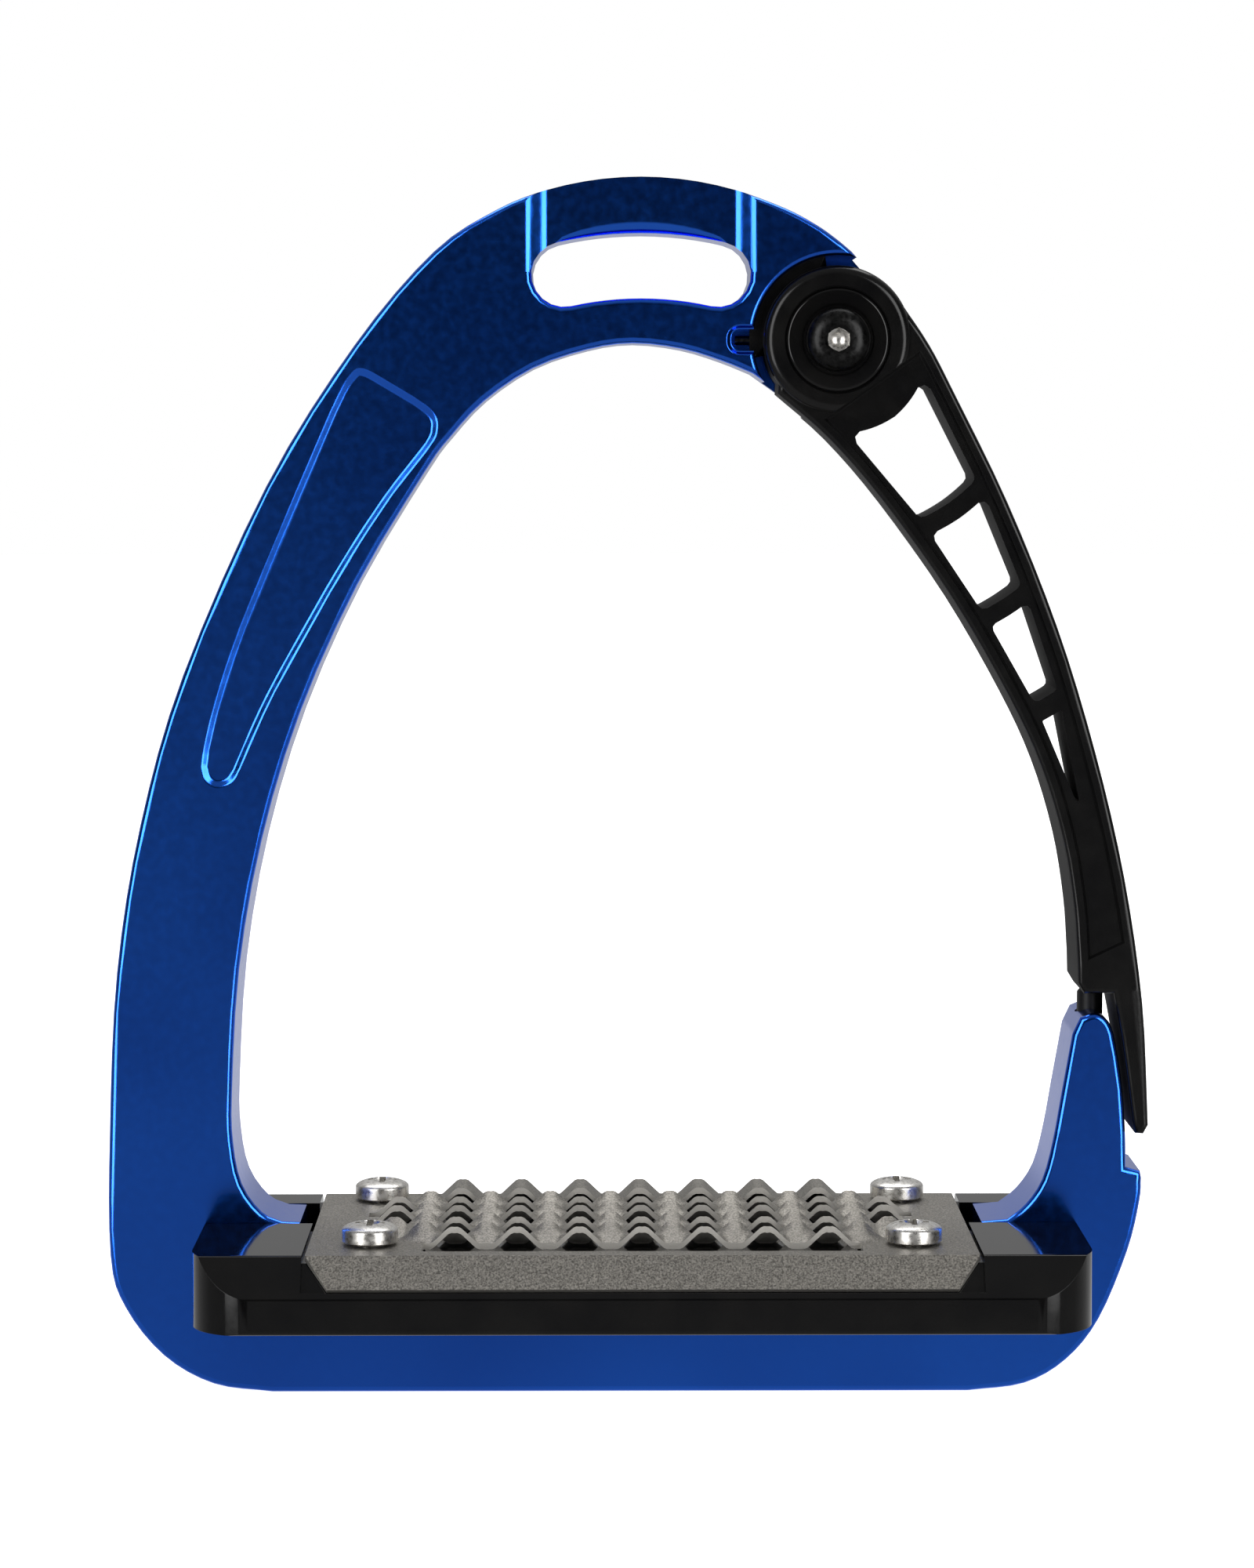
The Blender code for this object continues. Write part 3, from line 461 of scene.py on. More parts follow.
# %% Nylon
def black_nylon(name, low, high, wave, patch=False):
    made, tree, shader = finish(name, low)
    tint = grain(tree, 160.0, 2.0)
    blacks = [(0.3, (0.0015, 0.0015, 0.0017)), (0.7, (0.003, 0.0029, 0.0028))]
    tree.links.new(ramp(tree, tint, blacks), shader.inputs["Base Color"])
    sheen = between(tree, grain(tree, 420.0, 4.0), low, high)
    height = sums(tree, "MULTIPLY", grain(tree, 700.0, 2.0), wave)
    if patch:
        place = tree.nodes.new("ShaderNodeTexCoord")
        parts = tree.nodes.new("ShaderNodeSeparateXYZ")
        tree.links.new(place.outputs["Object"], parts.inputs["Vector"])
        lean = sums(tree, "MULTIPLY", parts.outputs["Z"], PATCH_LEAN)
        across = sums(tree, "ADD", parts.outputs["X"], lean)
        low_down = between(tree, parts.outputs["Z"], 1.0, 0.0, PATCH_TOP - 0.001, PATCH_TOP)
        outside = between(tree, across, 0.0, 1.0, PATCH_EDGE, PATCH_EDGE + 0.0006)
        rough = sums(tree, "MULTIPLY", low_down, outside)
        pebbles = sums(tree, "MULTIPLY", grain(tree, 2600.0, 3.0), rough)
        height = sums(tree, "ADD", height, pebbles)
        sheen = sums(tree, "MAXIMUM", sheen, sums(tree, "MULTIPLY", rough, 0.42))
        turned = tree.nodes.new("ShaderNodeNewGeometry")
        facing = tree.nodes.new("ShaderNodeSeparateXYZ")
        tree.links.new(turned.outputs["True Normal"], facing.inputs["Vector"])
        drawn = sums(tree, "LESS_THAN", sums(tree, "ABSOLUTE", facing.outputs["Y"], 0.0), 0.2)
        sheen = sums(tree, "MAXIMUM", sheen, sums(tree, "MULTIPLY", drawn, 0.7))
    tree.links.new(sheen, shader.inputs["Roughness"])
    relief(tree, shader, height, 0.5, 0.12)
    shader.inputs["IOR"].default_value = 1.36
    return made


PATCH_TOP = 0.0600
PATCH_LEAN = 0.11
PATCH_EDGE = 0.0775
GLOSS_NYLON = black_nylon("black_nylon_gloss", 0.06, 0.1, 0.02)
ARM_NYLON = black_nylon("black_nylon_arm", 0.16, 0.24, 0.06, patch=True)
SATIN_NYLON = black_nylon("black_nylon_satin", 0.35, 0.5, 0.1)
print("three nylons")

# %% [markdown]
# ### Steel, wire and bronze
# The plate is bead-blasted: a warm grey, evenly dull, sparkling where a grain catches the light. Where the
# press sheared it, the cut edge is bright, and on this part such faces never look upwards, so the slope of
# the face picks them out. The screws are bright stainless, turned and tumbled. The same recipe with other
# numbers gives black spring wire and the bronze of the bearing.

# %% Metals
def blasted_steel():
    made, tree, shader = finish("steel_satin", 0.5, 1.0)
    speck = grain(tree, 3800.0, 3.0)
    satin = ramp(tree, speck, [(0.34, (0.14, 0.132, 0.12)), (0.66, (0.38, 0.362, 0.325))])
    turned = tree.nodes.new("ShaderNodeNewGeometry")
    parts = tree.nodes.new("ShaderNodeSeparateXYZ")
    tree.links.new(turned.outputs["True Normal"], parts.inputs["Vector"])
    sheared = sums(tree, "LESS_THAN", parts.outputs["Z"], 0.3)
    colour = tree.nodes.new("ShaderNodeMix")
    colour.data_type = "RGBA"
    colour.inputs["B"].default_value = (0.6, 0.58, 0.54, 1.0)
    tree.links.new(sheared, colour.inputs["Factor"])
    tree.links.new(satin, colour.inputs["A"])
    tree.links.new(colour.outputs["Result"], shader.inputs["Base Color"])
    dull = between(tree, speck, 0.42, 0.58)
    tree.links.new(sums(tree, "ADD", dull, sums(tree, "MULTIPLY", sheared, 0.05)), shader.inputs["Roughness"])
    relief(tree, shader, speck, 0.5, 0.06)
    return made


def bright_metal(name, dark, light, low, high, scale=1500.0, stretch=(1, 1, 1)):
    made, tree, shader = finish(name, low, 1.0)
    marks = grain(tree, scale, 4.0, stretch)
    tree.links.new(ramp(tree, marks, [(0.3, dark), (0.7, light)]), shader.inputs["Base Color"])
    tree.links.new(between(tree, marks, low, high), shader.inputs["Roughness"])
    relief(tree, shader, marks, 0.35, 0.04)
    return made


BLASTED = blasted_steel()
STAINLESS = bright_metal("steel_bright", (0.6, 0.585, 0.55), (0.85, 0.83, 0.8), 0.22, 0.38)
WIRE = bright_metal("steel_black", (0.012, 0.012, 0.012), (0.03, 0.03, 0.03), 0.25, 0.4)
BRONZE = bright_metal("bronze", (0.38, 0.25, 0.11), (0.52, 0.36, 0.18), 0.3, 0.45)
FINISH = {
    "blue_lacquer": BLUE, "black_nylon_gloss": GLOSS_NYLON, "black_nylon_satin": SATIN_NYLON,
    "steel_satin": BLASTED, "steel_bright": STAINLESS, "steel_black": WIRE, "bronze": BRONZE,
}
print(len(FINISH), "finishes for the record's slots")

# %% [markdown]
# ## The frame
# The real frame is forged, machined on both faces and tumbled before it is lacquered, so that no edge on
# it is sharp. The section through the back of the working model gives its outline and its strap slot. The
# new solid has rims with five steps instead of two, and its pockets are cut again with tools whose corners
# flare out, which is what rounds the edge that they leave.

# %% Frame blank
RIM = 0.9
outline, strap_slot = frame_sections[:2]
lacquered_frame = link("frame_lacquered", slab(outline, [strap_slot], FRONT, BACK, RIM))
print("blank of", len(outline), "outline points")

# %% [markdown]
# ### The set-back strap bar
# Above the slot both faces are set back so that the strap lies flush. The ends of that recess sweep from
# the outer face to the inner one in a soft S, which shows as a pair of light bands on each side. The S is
# a smooth step: its slope is nothing at both ends and steepest half way.

# %% Recess, hub pocket and spring slot
RECESS_HALF, RECESS_RUN, RECESS_DEPTH, RECESS_BOTTOM = 13.2, 3.7, 1.5, 163.1
CHEEK_FRONT = span("thrust_washer", Y)[1] + 0.3


def flared_bore(centre, radius, mouth, floor, flare, steps=6):
    """A round cutter from a front face to a floor, opening out at the mouth along a quarter circle."""
    turn = [math.pi / 2 * k / steps for k in range(steps + 1)]
    profile = [(0, mouth - 2), (radius + flare, mouth - 2)]
    profile += [(radius + flare * (1 - math.sin(a)), mouth + flare * (1 - math.cos(a))) for a in turn]
    profile += [(radius, floor), (0, floor)]
    return lathe(profile, centre, "Y", 96)


def recess_cutter(face, inwards, steps=14):
    run = []
    for k in range(steps + 1):
        t = k / steps
        run.append((-RECESS_HALF - RECESS_RUN * (1 - t), RECESS_DEPTH * t * t * (3 - 2 * t)))
    run += [(-u, v) for u, v in reversed(run)]
    run += [(RECESS_HALF + RECESS_RUN, -3.0), (-RECESS_HALF - RECESS_RUN, -3.0)]
    points = [(u, face + inwards * v) for u, v in run]
    return slab(points, [], RECESS_BOTTOM, span("frame", Z)[1] + 2, 0.0, "Z")


def dished_cutter(loop, face, depth, slope, steps=6):
    """A shallow cutter whose wall sweeps in a soft S from the face to the floor."""
    rings = [(0.0, face - 2.0)]
    for k in range(steps + 1):
        t = k / steps
        rings.append((slope * t, face + depth * t * t * (3 - 2 * t) - 0.002 * (1 - t)))
    count = len(loop)
    points = [(u, w, v) for shift, w in rings for u, v in inset(loop, shift)]
    faces = []
    for level in range(len(rings) - 1):
        for i in range(count):
            j = (i + 1) % count
            a = level * count
            faces.append((a + i, a + j, a + count + j, a + count + i))
    floor = count * (len(rings) - 1)
    faces += [tuple(range(count)), tuple(floor + k for k in reversed(range(count)))]
    return mesh_from(points, faces)


def bar_edge_cutter(face, inwards, radius=1.7, half=12.4, steps=6):
    """Rounds the strap bar's lower edge, most in the middle and fading out towards the slot's ends."""
    edge = sorted(p for p in strap_slot if p[1] > centre_of(strap_slot)[1])
    points, count = [], steps + 4
    columns = [half * k / 12 for k in range(-12, 13)]
    for x in columns:
        left = max((p for p in edge if p[0] <= x), default=edge[0])
        right = min((p for p in edge if p[0] > x), default=edge[-1])
        share = (x - left[0]) / max(right[0] - left[0], 1e-6)
        z = left[1] + (right[1] - left[1]) * share
        r = radius * math.sqrt(max(0.0, 1 - (x / half) ** 2)) + 0.02
        ring = [(z - 1, -1.0), (z + r, -1.0)]
        turn = [math.pi / 2 * k / steps for k in range(steps + 1)]
        ring += [(z + r * (1 - math.sin(a)), r * (1 - math.cos(a))) for a in turn]
        ring.append((z - 1, r))
        points += [(x, face + inwards * depth, height) for height, depth in ring]
    faces = [tuple(range(count)), tuple(len(points) - count + k for k in reversed(range(count)))]
    for k in range(len(columns) - 1):
        for i in range(count):
            j = (i + 1) % count
            faces.append((k * count + i, k * count + j, (k + 1) * count + j, (k + 1) * count + i))
    return mesh_from(points, faces)


LEG_THICK, LEG_SLOT_HALF, LEG_GAP = 1.4, 1.55, 0.3
leg_floor = span("torsion_spring", Y)[0] + LEG_THICK + LEG_GAP
leg_tip = span("torsion_spring", X)[0] - 0.6
leg_slot = rounded(
    [
        (leg_tip, HUB[1] - LEG_SLOT_HALF), (HUB[0] - 9, HUB[1] - LEG_SLOT_HALF),
        (HUB[0] - 9, HUB[1] + LEG_SLOT_HALF), (leg_tip, HUB[1] + LEG_SLOT_HALF),
    ],
    1.3,
)
carve(
    lacquered_frame,
    [
        recess_cutter(FRONT, 1), recess_cutter(BACK, -1),
        bar_edge_cutter(FRONT + RECESS_DEPTH, 1), bar_edge_cutter(BACK - RECESS_DEPTH, -1),
        flared_bore(HUB, HUB_RADIUS + 1.5, FRONT, CHEEK_FRONT, 0.8),
        slab(leg_slot, [], FRONT - 2, leg_floor),
        dished_cutter(inset(leg_slot, -0.7), FRONT, 0.6, 0.7),
    ],
)
print("recesses cut:", len(lacquered_frame.data.polygons), "faces")

# %% Leaf panel and the bores
def leaf_outline():
    """Broad at the top, a long point at the bottom, in step with the limb."""
    outer = [
        (-63.5, 92.0), (-63.0, 95.2), (-61.4, 101.5), (-58.6, 109.9), (-53.9, 121.5), (-48.4, 134.2),
        (-43.7, 144.8),
    ]
    crown = [(-41.7, 148.2), (-39.9, 149.1), (-35.8, 146.9), (-31.7, 144.4)]
    inner = [
        (-29.8, 142.7), (-29.4, 140.8), (-30.4, 138.3), (-35.8, 131.4), (-41.5, 122.9), (-47.2, 113.3),
        (-53.0, 102.9), (-56.4, 95.8), (-58.4, 91.2),
    ]
    tip = [(-59.7, 89.6), (-61.6, 89.2), (-63.0, 90.2)]
    ring = outer + crown + inner + tip
    return curve_through(ring + ring[:1], 5)[:-1]


def curve_through(points, steps):
    """A smooth open line through the points (Catmull-Rom)."""
    ends = [tuple(2 * a - b for a, b in zip(points[0], points[1])), *points]
    ends.append(tuple(2 * a - b for a, b in zip(points[-1], points[-2])))
    line = []
    for before, start, end, after in zip(ends, ends[1:], ends[2:], ends[3:]):
        for k in range(steps):
            t = k / steps
            spot = []
            for a, b, c, d in zip(before, start, end, after):
                cube = 3 * b - a - 3 * c + d
                spot.append(0.5 * (2 * b + (c - a) * t + (2 * a - 5 * b + 4 * c - d) * t**2 + cube * t**3))
            line.append(tuple(spot))
    line.append(tuple(points[-1]))
    return line


leaf = leaf_outline()
leaf = leaf if area(leaf) > 0 else leaf[::-1]
LEAF_DEPTH = 0.5
LEAF_SLOPE = 1.2
BAR_SCREW_X = (sum(span("bar_screw_1", X)) / 2, sum(span("bar_screw_2", X)) / 2)
STUD = (sum(span("latch_stud", X)) / 2, 0.0)
PIVOT_BORE, INSERT_FLATS, INSERT_DEPTH = 2.8, 8.6, 2.6
bores = [
    dished_cutter(inset(leaf, -0.3), FRONT, LEAF_DEPTH, LEAF_SLOPE),
    slab(circle(HUB, PIVOT_BORE, 40), [], 0, BACK + 2),
    slab(hexagon(HUB, INSERT_FLATS), [], BACK - INSERT_DEPTH, BACK + 2),
    slab(circle(STUD, 2.2, 32), [], span("latch_stud", Z)[0] - 0.3, span("latch_stud", Z)[1] + 3, 0.0, "Z"),
]
for x in BAR_SCREW_X:
    sink = [(0, -1), (4.9, -1), (4.9, 0.75), (2.8, 2.85), (2.8, 18), (0, 18)]
    bores.append(lathe(sink, (x, 0.0), "Z", 48))
carve(lacquered_frame, bores)
clean(lacquered_frame)
dress(lacquered_frame, "frame", BLUE, 40.0)

# %% [markdown]
# ## The release arm
# The arm is moulded nylon. A raised rim runs along both of its long edges, and the panel between the rims,
# with the ribs of the lattice, lies a little lower; the panel stops above the foot, which is full depth.
# The outline comes from a section through the working model. The panel is one shallow cut whose outline
# is the arm's own, moved inwards, and the hub is a disc joined on top.

# %% Arm blank
arm_outline = arm_sections[0] if area(arm_sections[0]) > 0 else arm_sections[0][::-1]
bush_hole = [loop for loop in arm_sections[1:] if math.dist(centre_of(loop), HUB) < 1.0][0]
windows = [loop for loop in arm_sections[1:] if loop is not bush_hole]


def round_about_hub(loop):
    """The cross-bars are arcs about the hub: fill their long straight steps with points."""
    line = []
    for here, ahead in zip(loop, loop[1:] + loop[:1]):
        line.append(here)
        near, far = math.dist(here, HUB), math.dist(ahead, HUB)
        if abs(near - far) > 0.4 or math.dist(here, ahead) < 1.5:
            continue
        start = math.atan2(here[1] - HUB[1], here[0] - HUB[0])
        turn = math.atan2(ahead[1] - HUB[1], ahead[0] - HUB[0]) - start
        for k in range(1, 6):
            radius = near + (far - near) * k / 6
            angle = start + turn * k / 6
            line.append((HUB[0] + radius * math.cos(angle), HUB[1] + radius * math.sin(angle)))
    return line


windows = [round_about_hub(loop) for loop in windows]
ARM_RIM, HUB_RIM = 0.8, 1.5
HUB_PROUD = 0.04  # keeps the disc's wall off the outline's own arc, which the Boolean can't tell apart
arm_moulding = link("arm_moulding", slab(arm_outline, [], FRONT, BACK, ARM_RIM))
hub_disc = slab(circle(HUB, HUB_RADIUS + HUB_PROUD, 90), [], HUB_FRONT, FRONT + 4, HUB_RIM)
carve(arm_moulding, [hub_disc], "UNION")
print("arm with", len(windows), "windows")

# %% Sunk panel and the hub's own cuts
PANEL_INSET, PANEL_DEPTH, PANEL_FOOT = 1.5, 0.7, 62.3


def panel_outline():
    """The arm's outline moved in by the width of its rim, cut straight across above the foot."""
    line = [p for p in inset(arm_outline, PANEL_INSET) if math.dist(p, HUB) > HUB_RADIUS + 0.9]
    upper = [p for p in line if p[1] > PANEL_FOOT]
    return thinned(upper)


HUB_BACK = span("thrust_washer", Y)[0] - 0.3
POCKET_DEPTH, POCKET_OUTER, POCKET_INNER, BUSH_RADIUS = 7.2, 8.5, 5.4, 4.2
POCKET_FLOOR = HUB_BACK - POCKET_DEPTH
SEAT_RADIUS, SEAT_DEPTH, SEAT_LEAD = 7.6, 1.2, 0.15
seat = [
    (0, HUB_FRONT - 1), (SEAT_RADIUS + SEAT_LEAD, HUB_FRONT - 1), (SEAT_RADIUS + SEAT_LEAD, HUB_FRONT),
    (SEAT_RADIUS, HUB_FRONT + SEAT_LEAD), (SEAT_RADIUS, HUB_FRONT + SEAT_DEPTH), (0, HUB_FRONT + SEAT_DEPTH),
]
LEG_ANGLE, LEG_PLAY = 180, 12

# The notch should clear the spring's leg through the whole swing. Known fault: here the Boolean leaves it
# standing as a thin sector outside the hub instead of removing it.
swing = frame["joints"][0]["range_deg"][1]
notch_start, notch_end = LEG_ANGLE - swing - LEG_PLAY, LEG_ANGLE + LEG_PLAY
notch = arc(HUB, HUB_RADIUS + 2, notch_start, notch_end, 16)
notch += arc(HUB, POCKET_OUTER - 0.8, notch_end, notch_start, 16)
carve(
    arm_moulding,
    [
        dished_cutter(panel_outline(), FRONT, PANEL_DEPTH, 0.5, 4),
        slab(circle(HUB, HUB_RADIUS + 1.4, 96), [], HUB_BACK, BACK + 2),
        slab(circle(HUB, POCKET_OUTER, 64), [circle(HUB, POCKET_INNER, 48)], POCKET_FLOOR, BACK + 3),
        slab(notch, [], POCKET_FLOOR, leg_floor),
        lathe(seat, HUB, "Y", 96),
        slab(circle(HUB, BUSH_RADIUS, 48), [], HUB_FRONT - 1, BACK + 3),
    ] + [slab(loop, [], FRONT - 2, BACK + 2) for loop in windows],
)
clean(arm_moulding)
ease_edges(arm_moulding, 0.25, 40.0, 2)
dress(arm_moulding, "safety_arm", ARM_NYLON, 35.0)

# %% [markdown]
# ## The pivot
# A disc covers the spring and a button-head screw holds it. Both are turned, so both are a profile spun
# round the hub's axis. The screw's socket is a hexagonal hole with a conical floor, as a drill leaves it.

# %% Cap and screw
cap_front, cap_back = span("pivot_cap", Y)
cap_profile = [
    (2.8, cap_front + 0.25), (3.0, cap_front), (4.9, cap_front), (5.05, cap_front + 0.18), (5.2, cap_front),
    (6.9, cap_front), (7.2, cap_front + 0.08), (7.4, cap_front + 0.35), (7.4, cap_back), (2.8, cap_back),
]
hub_cap = link("hub_cap", lathe(cap_profile, HUB, "Y", 96))
dress(hub_cap, "pivot_cap", GLOSS_NYLON, 40.0)

head_front, shank_end = span("pivot_screw", Y)
head_back = cap_front - 0.3
crown = head_back - 0.35 - head_front
head = [(0, head_front), (2.1, head_front)]
for turn in [math.radians(a) for a in range(10, 91, 10)]:
    head.append((2.1 + 2.5 * math.sin(turn), head_back - 0.35 - crown * math.cos(turn)))
head += [(4.6, head_back), (2.5, head_back), (2.5, shank_end - 0.3), (2.1, shank_end), (0, shank_end)]
hub_screw = link("hub_screw", lathe(head, HUB, "Y", 64))
socket = slab(hexagon(HUB, 3.0, 30), [], head_front - 2, head_back - 0.5)
drill = lathe([(0, head_back - 0.9), (1.6, head_back - 0.9), (0, head_back + 0.4)], HUB, "Y", 32)
funnel = [(0, -1), (2.1, -1), (2.1, 0), (1.6, 0.4), (0, 0.4)]
lead_in = lathe([(r, head_front + h) for r, h in funnel], HUB)
carve(hub_screw, [socket, drill, lead_in])
clean(hub_screw)
dress(hub_screw, "pivot_screw", WIRE, 35.0)
hub_screw.data.materials.append(STAINLESS)
for face in hub_screw.data.polygons:
    corners = [hub_screw.data.vertices[v].co for v in face.vertices]
    away = max(math.dist((p.x / MM, p.z / MM), HUB) for p in corners)
    if away < 1.8 and face.center.y / MM < head_back + 1:
        face.material_index = 1

# %% [markdown]
# ## The tread
# The tread is moulded in one piece: a flat top, a bevel along the front and the back, a low upright edge and
# well rounded corners. Its section is drawn once and carried across, then the plan trims the ends, as a
# pattern maker would saw a moulding. The channel lets the frame's bar in from below and leaves the
# limbs standing in it.

# %% Tread body
TOP_FRONT, TOP_BACK, BEVEL_DROP, SHEET = -31.4, 15.4, 5.4, 0.9
BASE_CORNER = 8.5
section = rounded(
    [
        (TREAD_FRONT, TREAD_BOTTOM), (TREAD_BACK, TREAD_BOTTOM), (TREAD_BACK, TREAD_TOP - BEVEL_DROP),
        (TOP_BACK, TREAD_TOP), (TOP_FRONT, TREAD_TOP), (TREAD_FRONT, TREAD_TOP - BEVEL_DROP),
    ],
    0.7, 5,
)
plan = rounded(
    [
        (-TREAD_HALF, TREAD_FRONT), (TREAD_HALF, TREAD_FRONT),
        (TREAD_HALF, TREAD_BACK), (-TREAD_HALF, TREAD_BACK),
    ],
    BASE_CORNER, 20,
)
tread = link("tread_moulding", slab(section, [], -TREAD_HALF - 1, TREAD_HALF + 1, 0.0, "X"))
carve(tread, [slab(plan, [], TREAD_BOTTOM - 3, TREAD_TOP + 3, 0.0, "Z")], "INTERSECT")
print("tread body", [round(v, 1) for v in tread.dimensions / MM])

# %% Channel, plate recess and screw holes
BAR_GAP = 0.3
CHANNEL_ROOF = TREAD_TOP - 8.3
RECESS = SHEET + BAR_GAP
PLATE_GAP = 0.5
wide = TREAD_HALF + 3
channel = slab(
    [
        (-wide, TREAD_BOTTOM - 3), (wide, TREAD_BOTTOM - 3), (wide, TREAD_TOP + 3),
        (PLATE_HALF, TREAD_TOP + 3), (PLATE_HALF, CHANNEL_ROOF), (-PLATE_HALF, CHANNEL_ROOF),
        (-PLATE_HALF, TREAD_TOP + 3), (-wide, TREAD_TOP + 3),
    ],
    [], FRONT - BAR_GAP, BACK + BAR_GAP,
)
bevel = Vector((TOP_FRONT - TREAD_FRONT, BEVEL_DROP)).normalized()


def flange_recess(fold, way):
    """Corners of the recess that a bent flange lies in, from outside to its floor."""
    down = Vector((way * bevel.x, -bevel.y)) * 5.8
    inward = Vector((-way * bevel.y, -bevel.x)) * RECESS
    corner = Vector((fold, TREAD_TOP))
    sunk = RECESS * math.tan(math.atan2(bevel.y, bevel.x) / 2)
    outside, floor = corner + down - inward * 3, corner + down + inward
    return [tuple(outside), tuple(floor), (fold - way * sunk, TREAD_TOP - RECESS)]


recess_section = flange_recess(TOP_FRONT, -1) + flange_recess(TOP_BACK, 1)[::-1]
recess_section += [(TOP_BACK, TREAD_TOP + 4), (TOP_FRONT, TREAD_TOP + 4)]
plate_recess = slab(recess_section, [], -PLATE_HALF - PLATE_GAP, PLATE_HALF + PLATE_GAP, 0.0, "X")
holes = [channel, plate_recess]
TREAD_SCREWS = []
for number in (1, 2, 3, 4):
    low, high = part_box(f"tread_screw_{number}")
    at = ((low.x + high.x) / 2 / MM, (low.y + high.y) / 2 / MM)
    TREAD_SCREWS.append(at)
    holes.append(slab(circle(at, 2.3, 32), [], TREAD_BOTTOM - 1, TREAD_TOP + 1, 0.0, "Z"))
    holes.append(slab(hexagon(at, 7.6, 30), [], TREAD_BOTTOM - 1, span("tread_nut_1", Z)[1] + 0.3, 0.0, "Z"))
for x in BAR_SCREW_X:
    top = span("bar_screw_1", Z)[1] + BAR_GAP
    holes.append(slab(circle((x, 0.0), 2.8, 32), [], TREAD_BOTTOM - 1, top, 0.0, "Z"))
carve(tread, holes)
clean(tread)
ease_edges(tread, 0.3, 25.0, 3)
dress(tread, "tread_base", GLOSS_NYLON, 40.0)

# %% [markdown]
# ## The grip plate
# The plate is one sheet, slit into ribbons and pressed: the front edge of every ribbon rises in arches. The
# back edge rises half a pitch aside, except on the last ribbon, so that each row bites. A real press makes
# rounded crowns and flat feet. The sheet is a grid of heights with the slits left out, given its thickness
# by a second grid below.

# %% Plate sizes and the tooth
PLATE_DRAWN = 94.8  # the plate's width when its pitch was drawn
PITCH = 8.9 * ((span("grip_plate", X)[1] - span("grip_plate", X)[0]) / PLATE_DRAWN)
TOOTH_HEIGHT = 2.4
TOOTH_REACH, TOOTH_FLANK, TOOTH_SOFT = 0.365, 0.285, 0.16  # shares of the pitch, the last of the rise
COLUMNS = 7
STEPS = 20
RIBBONS = ((-22.6, -18.6), (-15.2, -11.2), (-6.4, -3.0), (0.4, 4.9), (7.2, 14.6))
WINDOW_FRONT = -28.4
WIDE_RIBBONS = (1, 2, 3)
RIBBON_STEPS = 4
TAPER = 3.2
FLANGE_DROP = 4.2
PLATE_FRONT_EDGE, PLATE_BACK_EDGE = TOP_FRONT - 3.2, TOP_BACK + 3.2


def tooth(x, offset):
    """Height of a row of arches: a flat foot, a straight flank and a rounded crown."""
    phase = abs((x / PITCH - offset + 0.5) % 1.0 - 0.5)
    rise = (TOOTH_REACH - phase) / TOOTH_FLANK
    soft = TOOTH_SOFT
    if rise <= -soft:
        return 0.0
    if rise < soft:
        return TOOTH_HEIGHT * (rise + soft) ** 2 / (4 * soft)
    if rise > 1.0 - soft:
        return TOOTH_HEIGHT * (rise - (rise - 1.0 + soft) ** 2 / (4 * soft))
    return TOOTH_HEIGHT * rise


print("crown at", round(tooth(0, 0), 2), "mm, foot at", round(tooth(PITCH / 2, 0), 2), "mm")

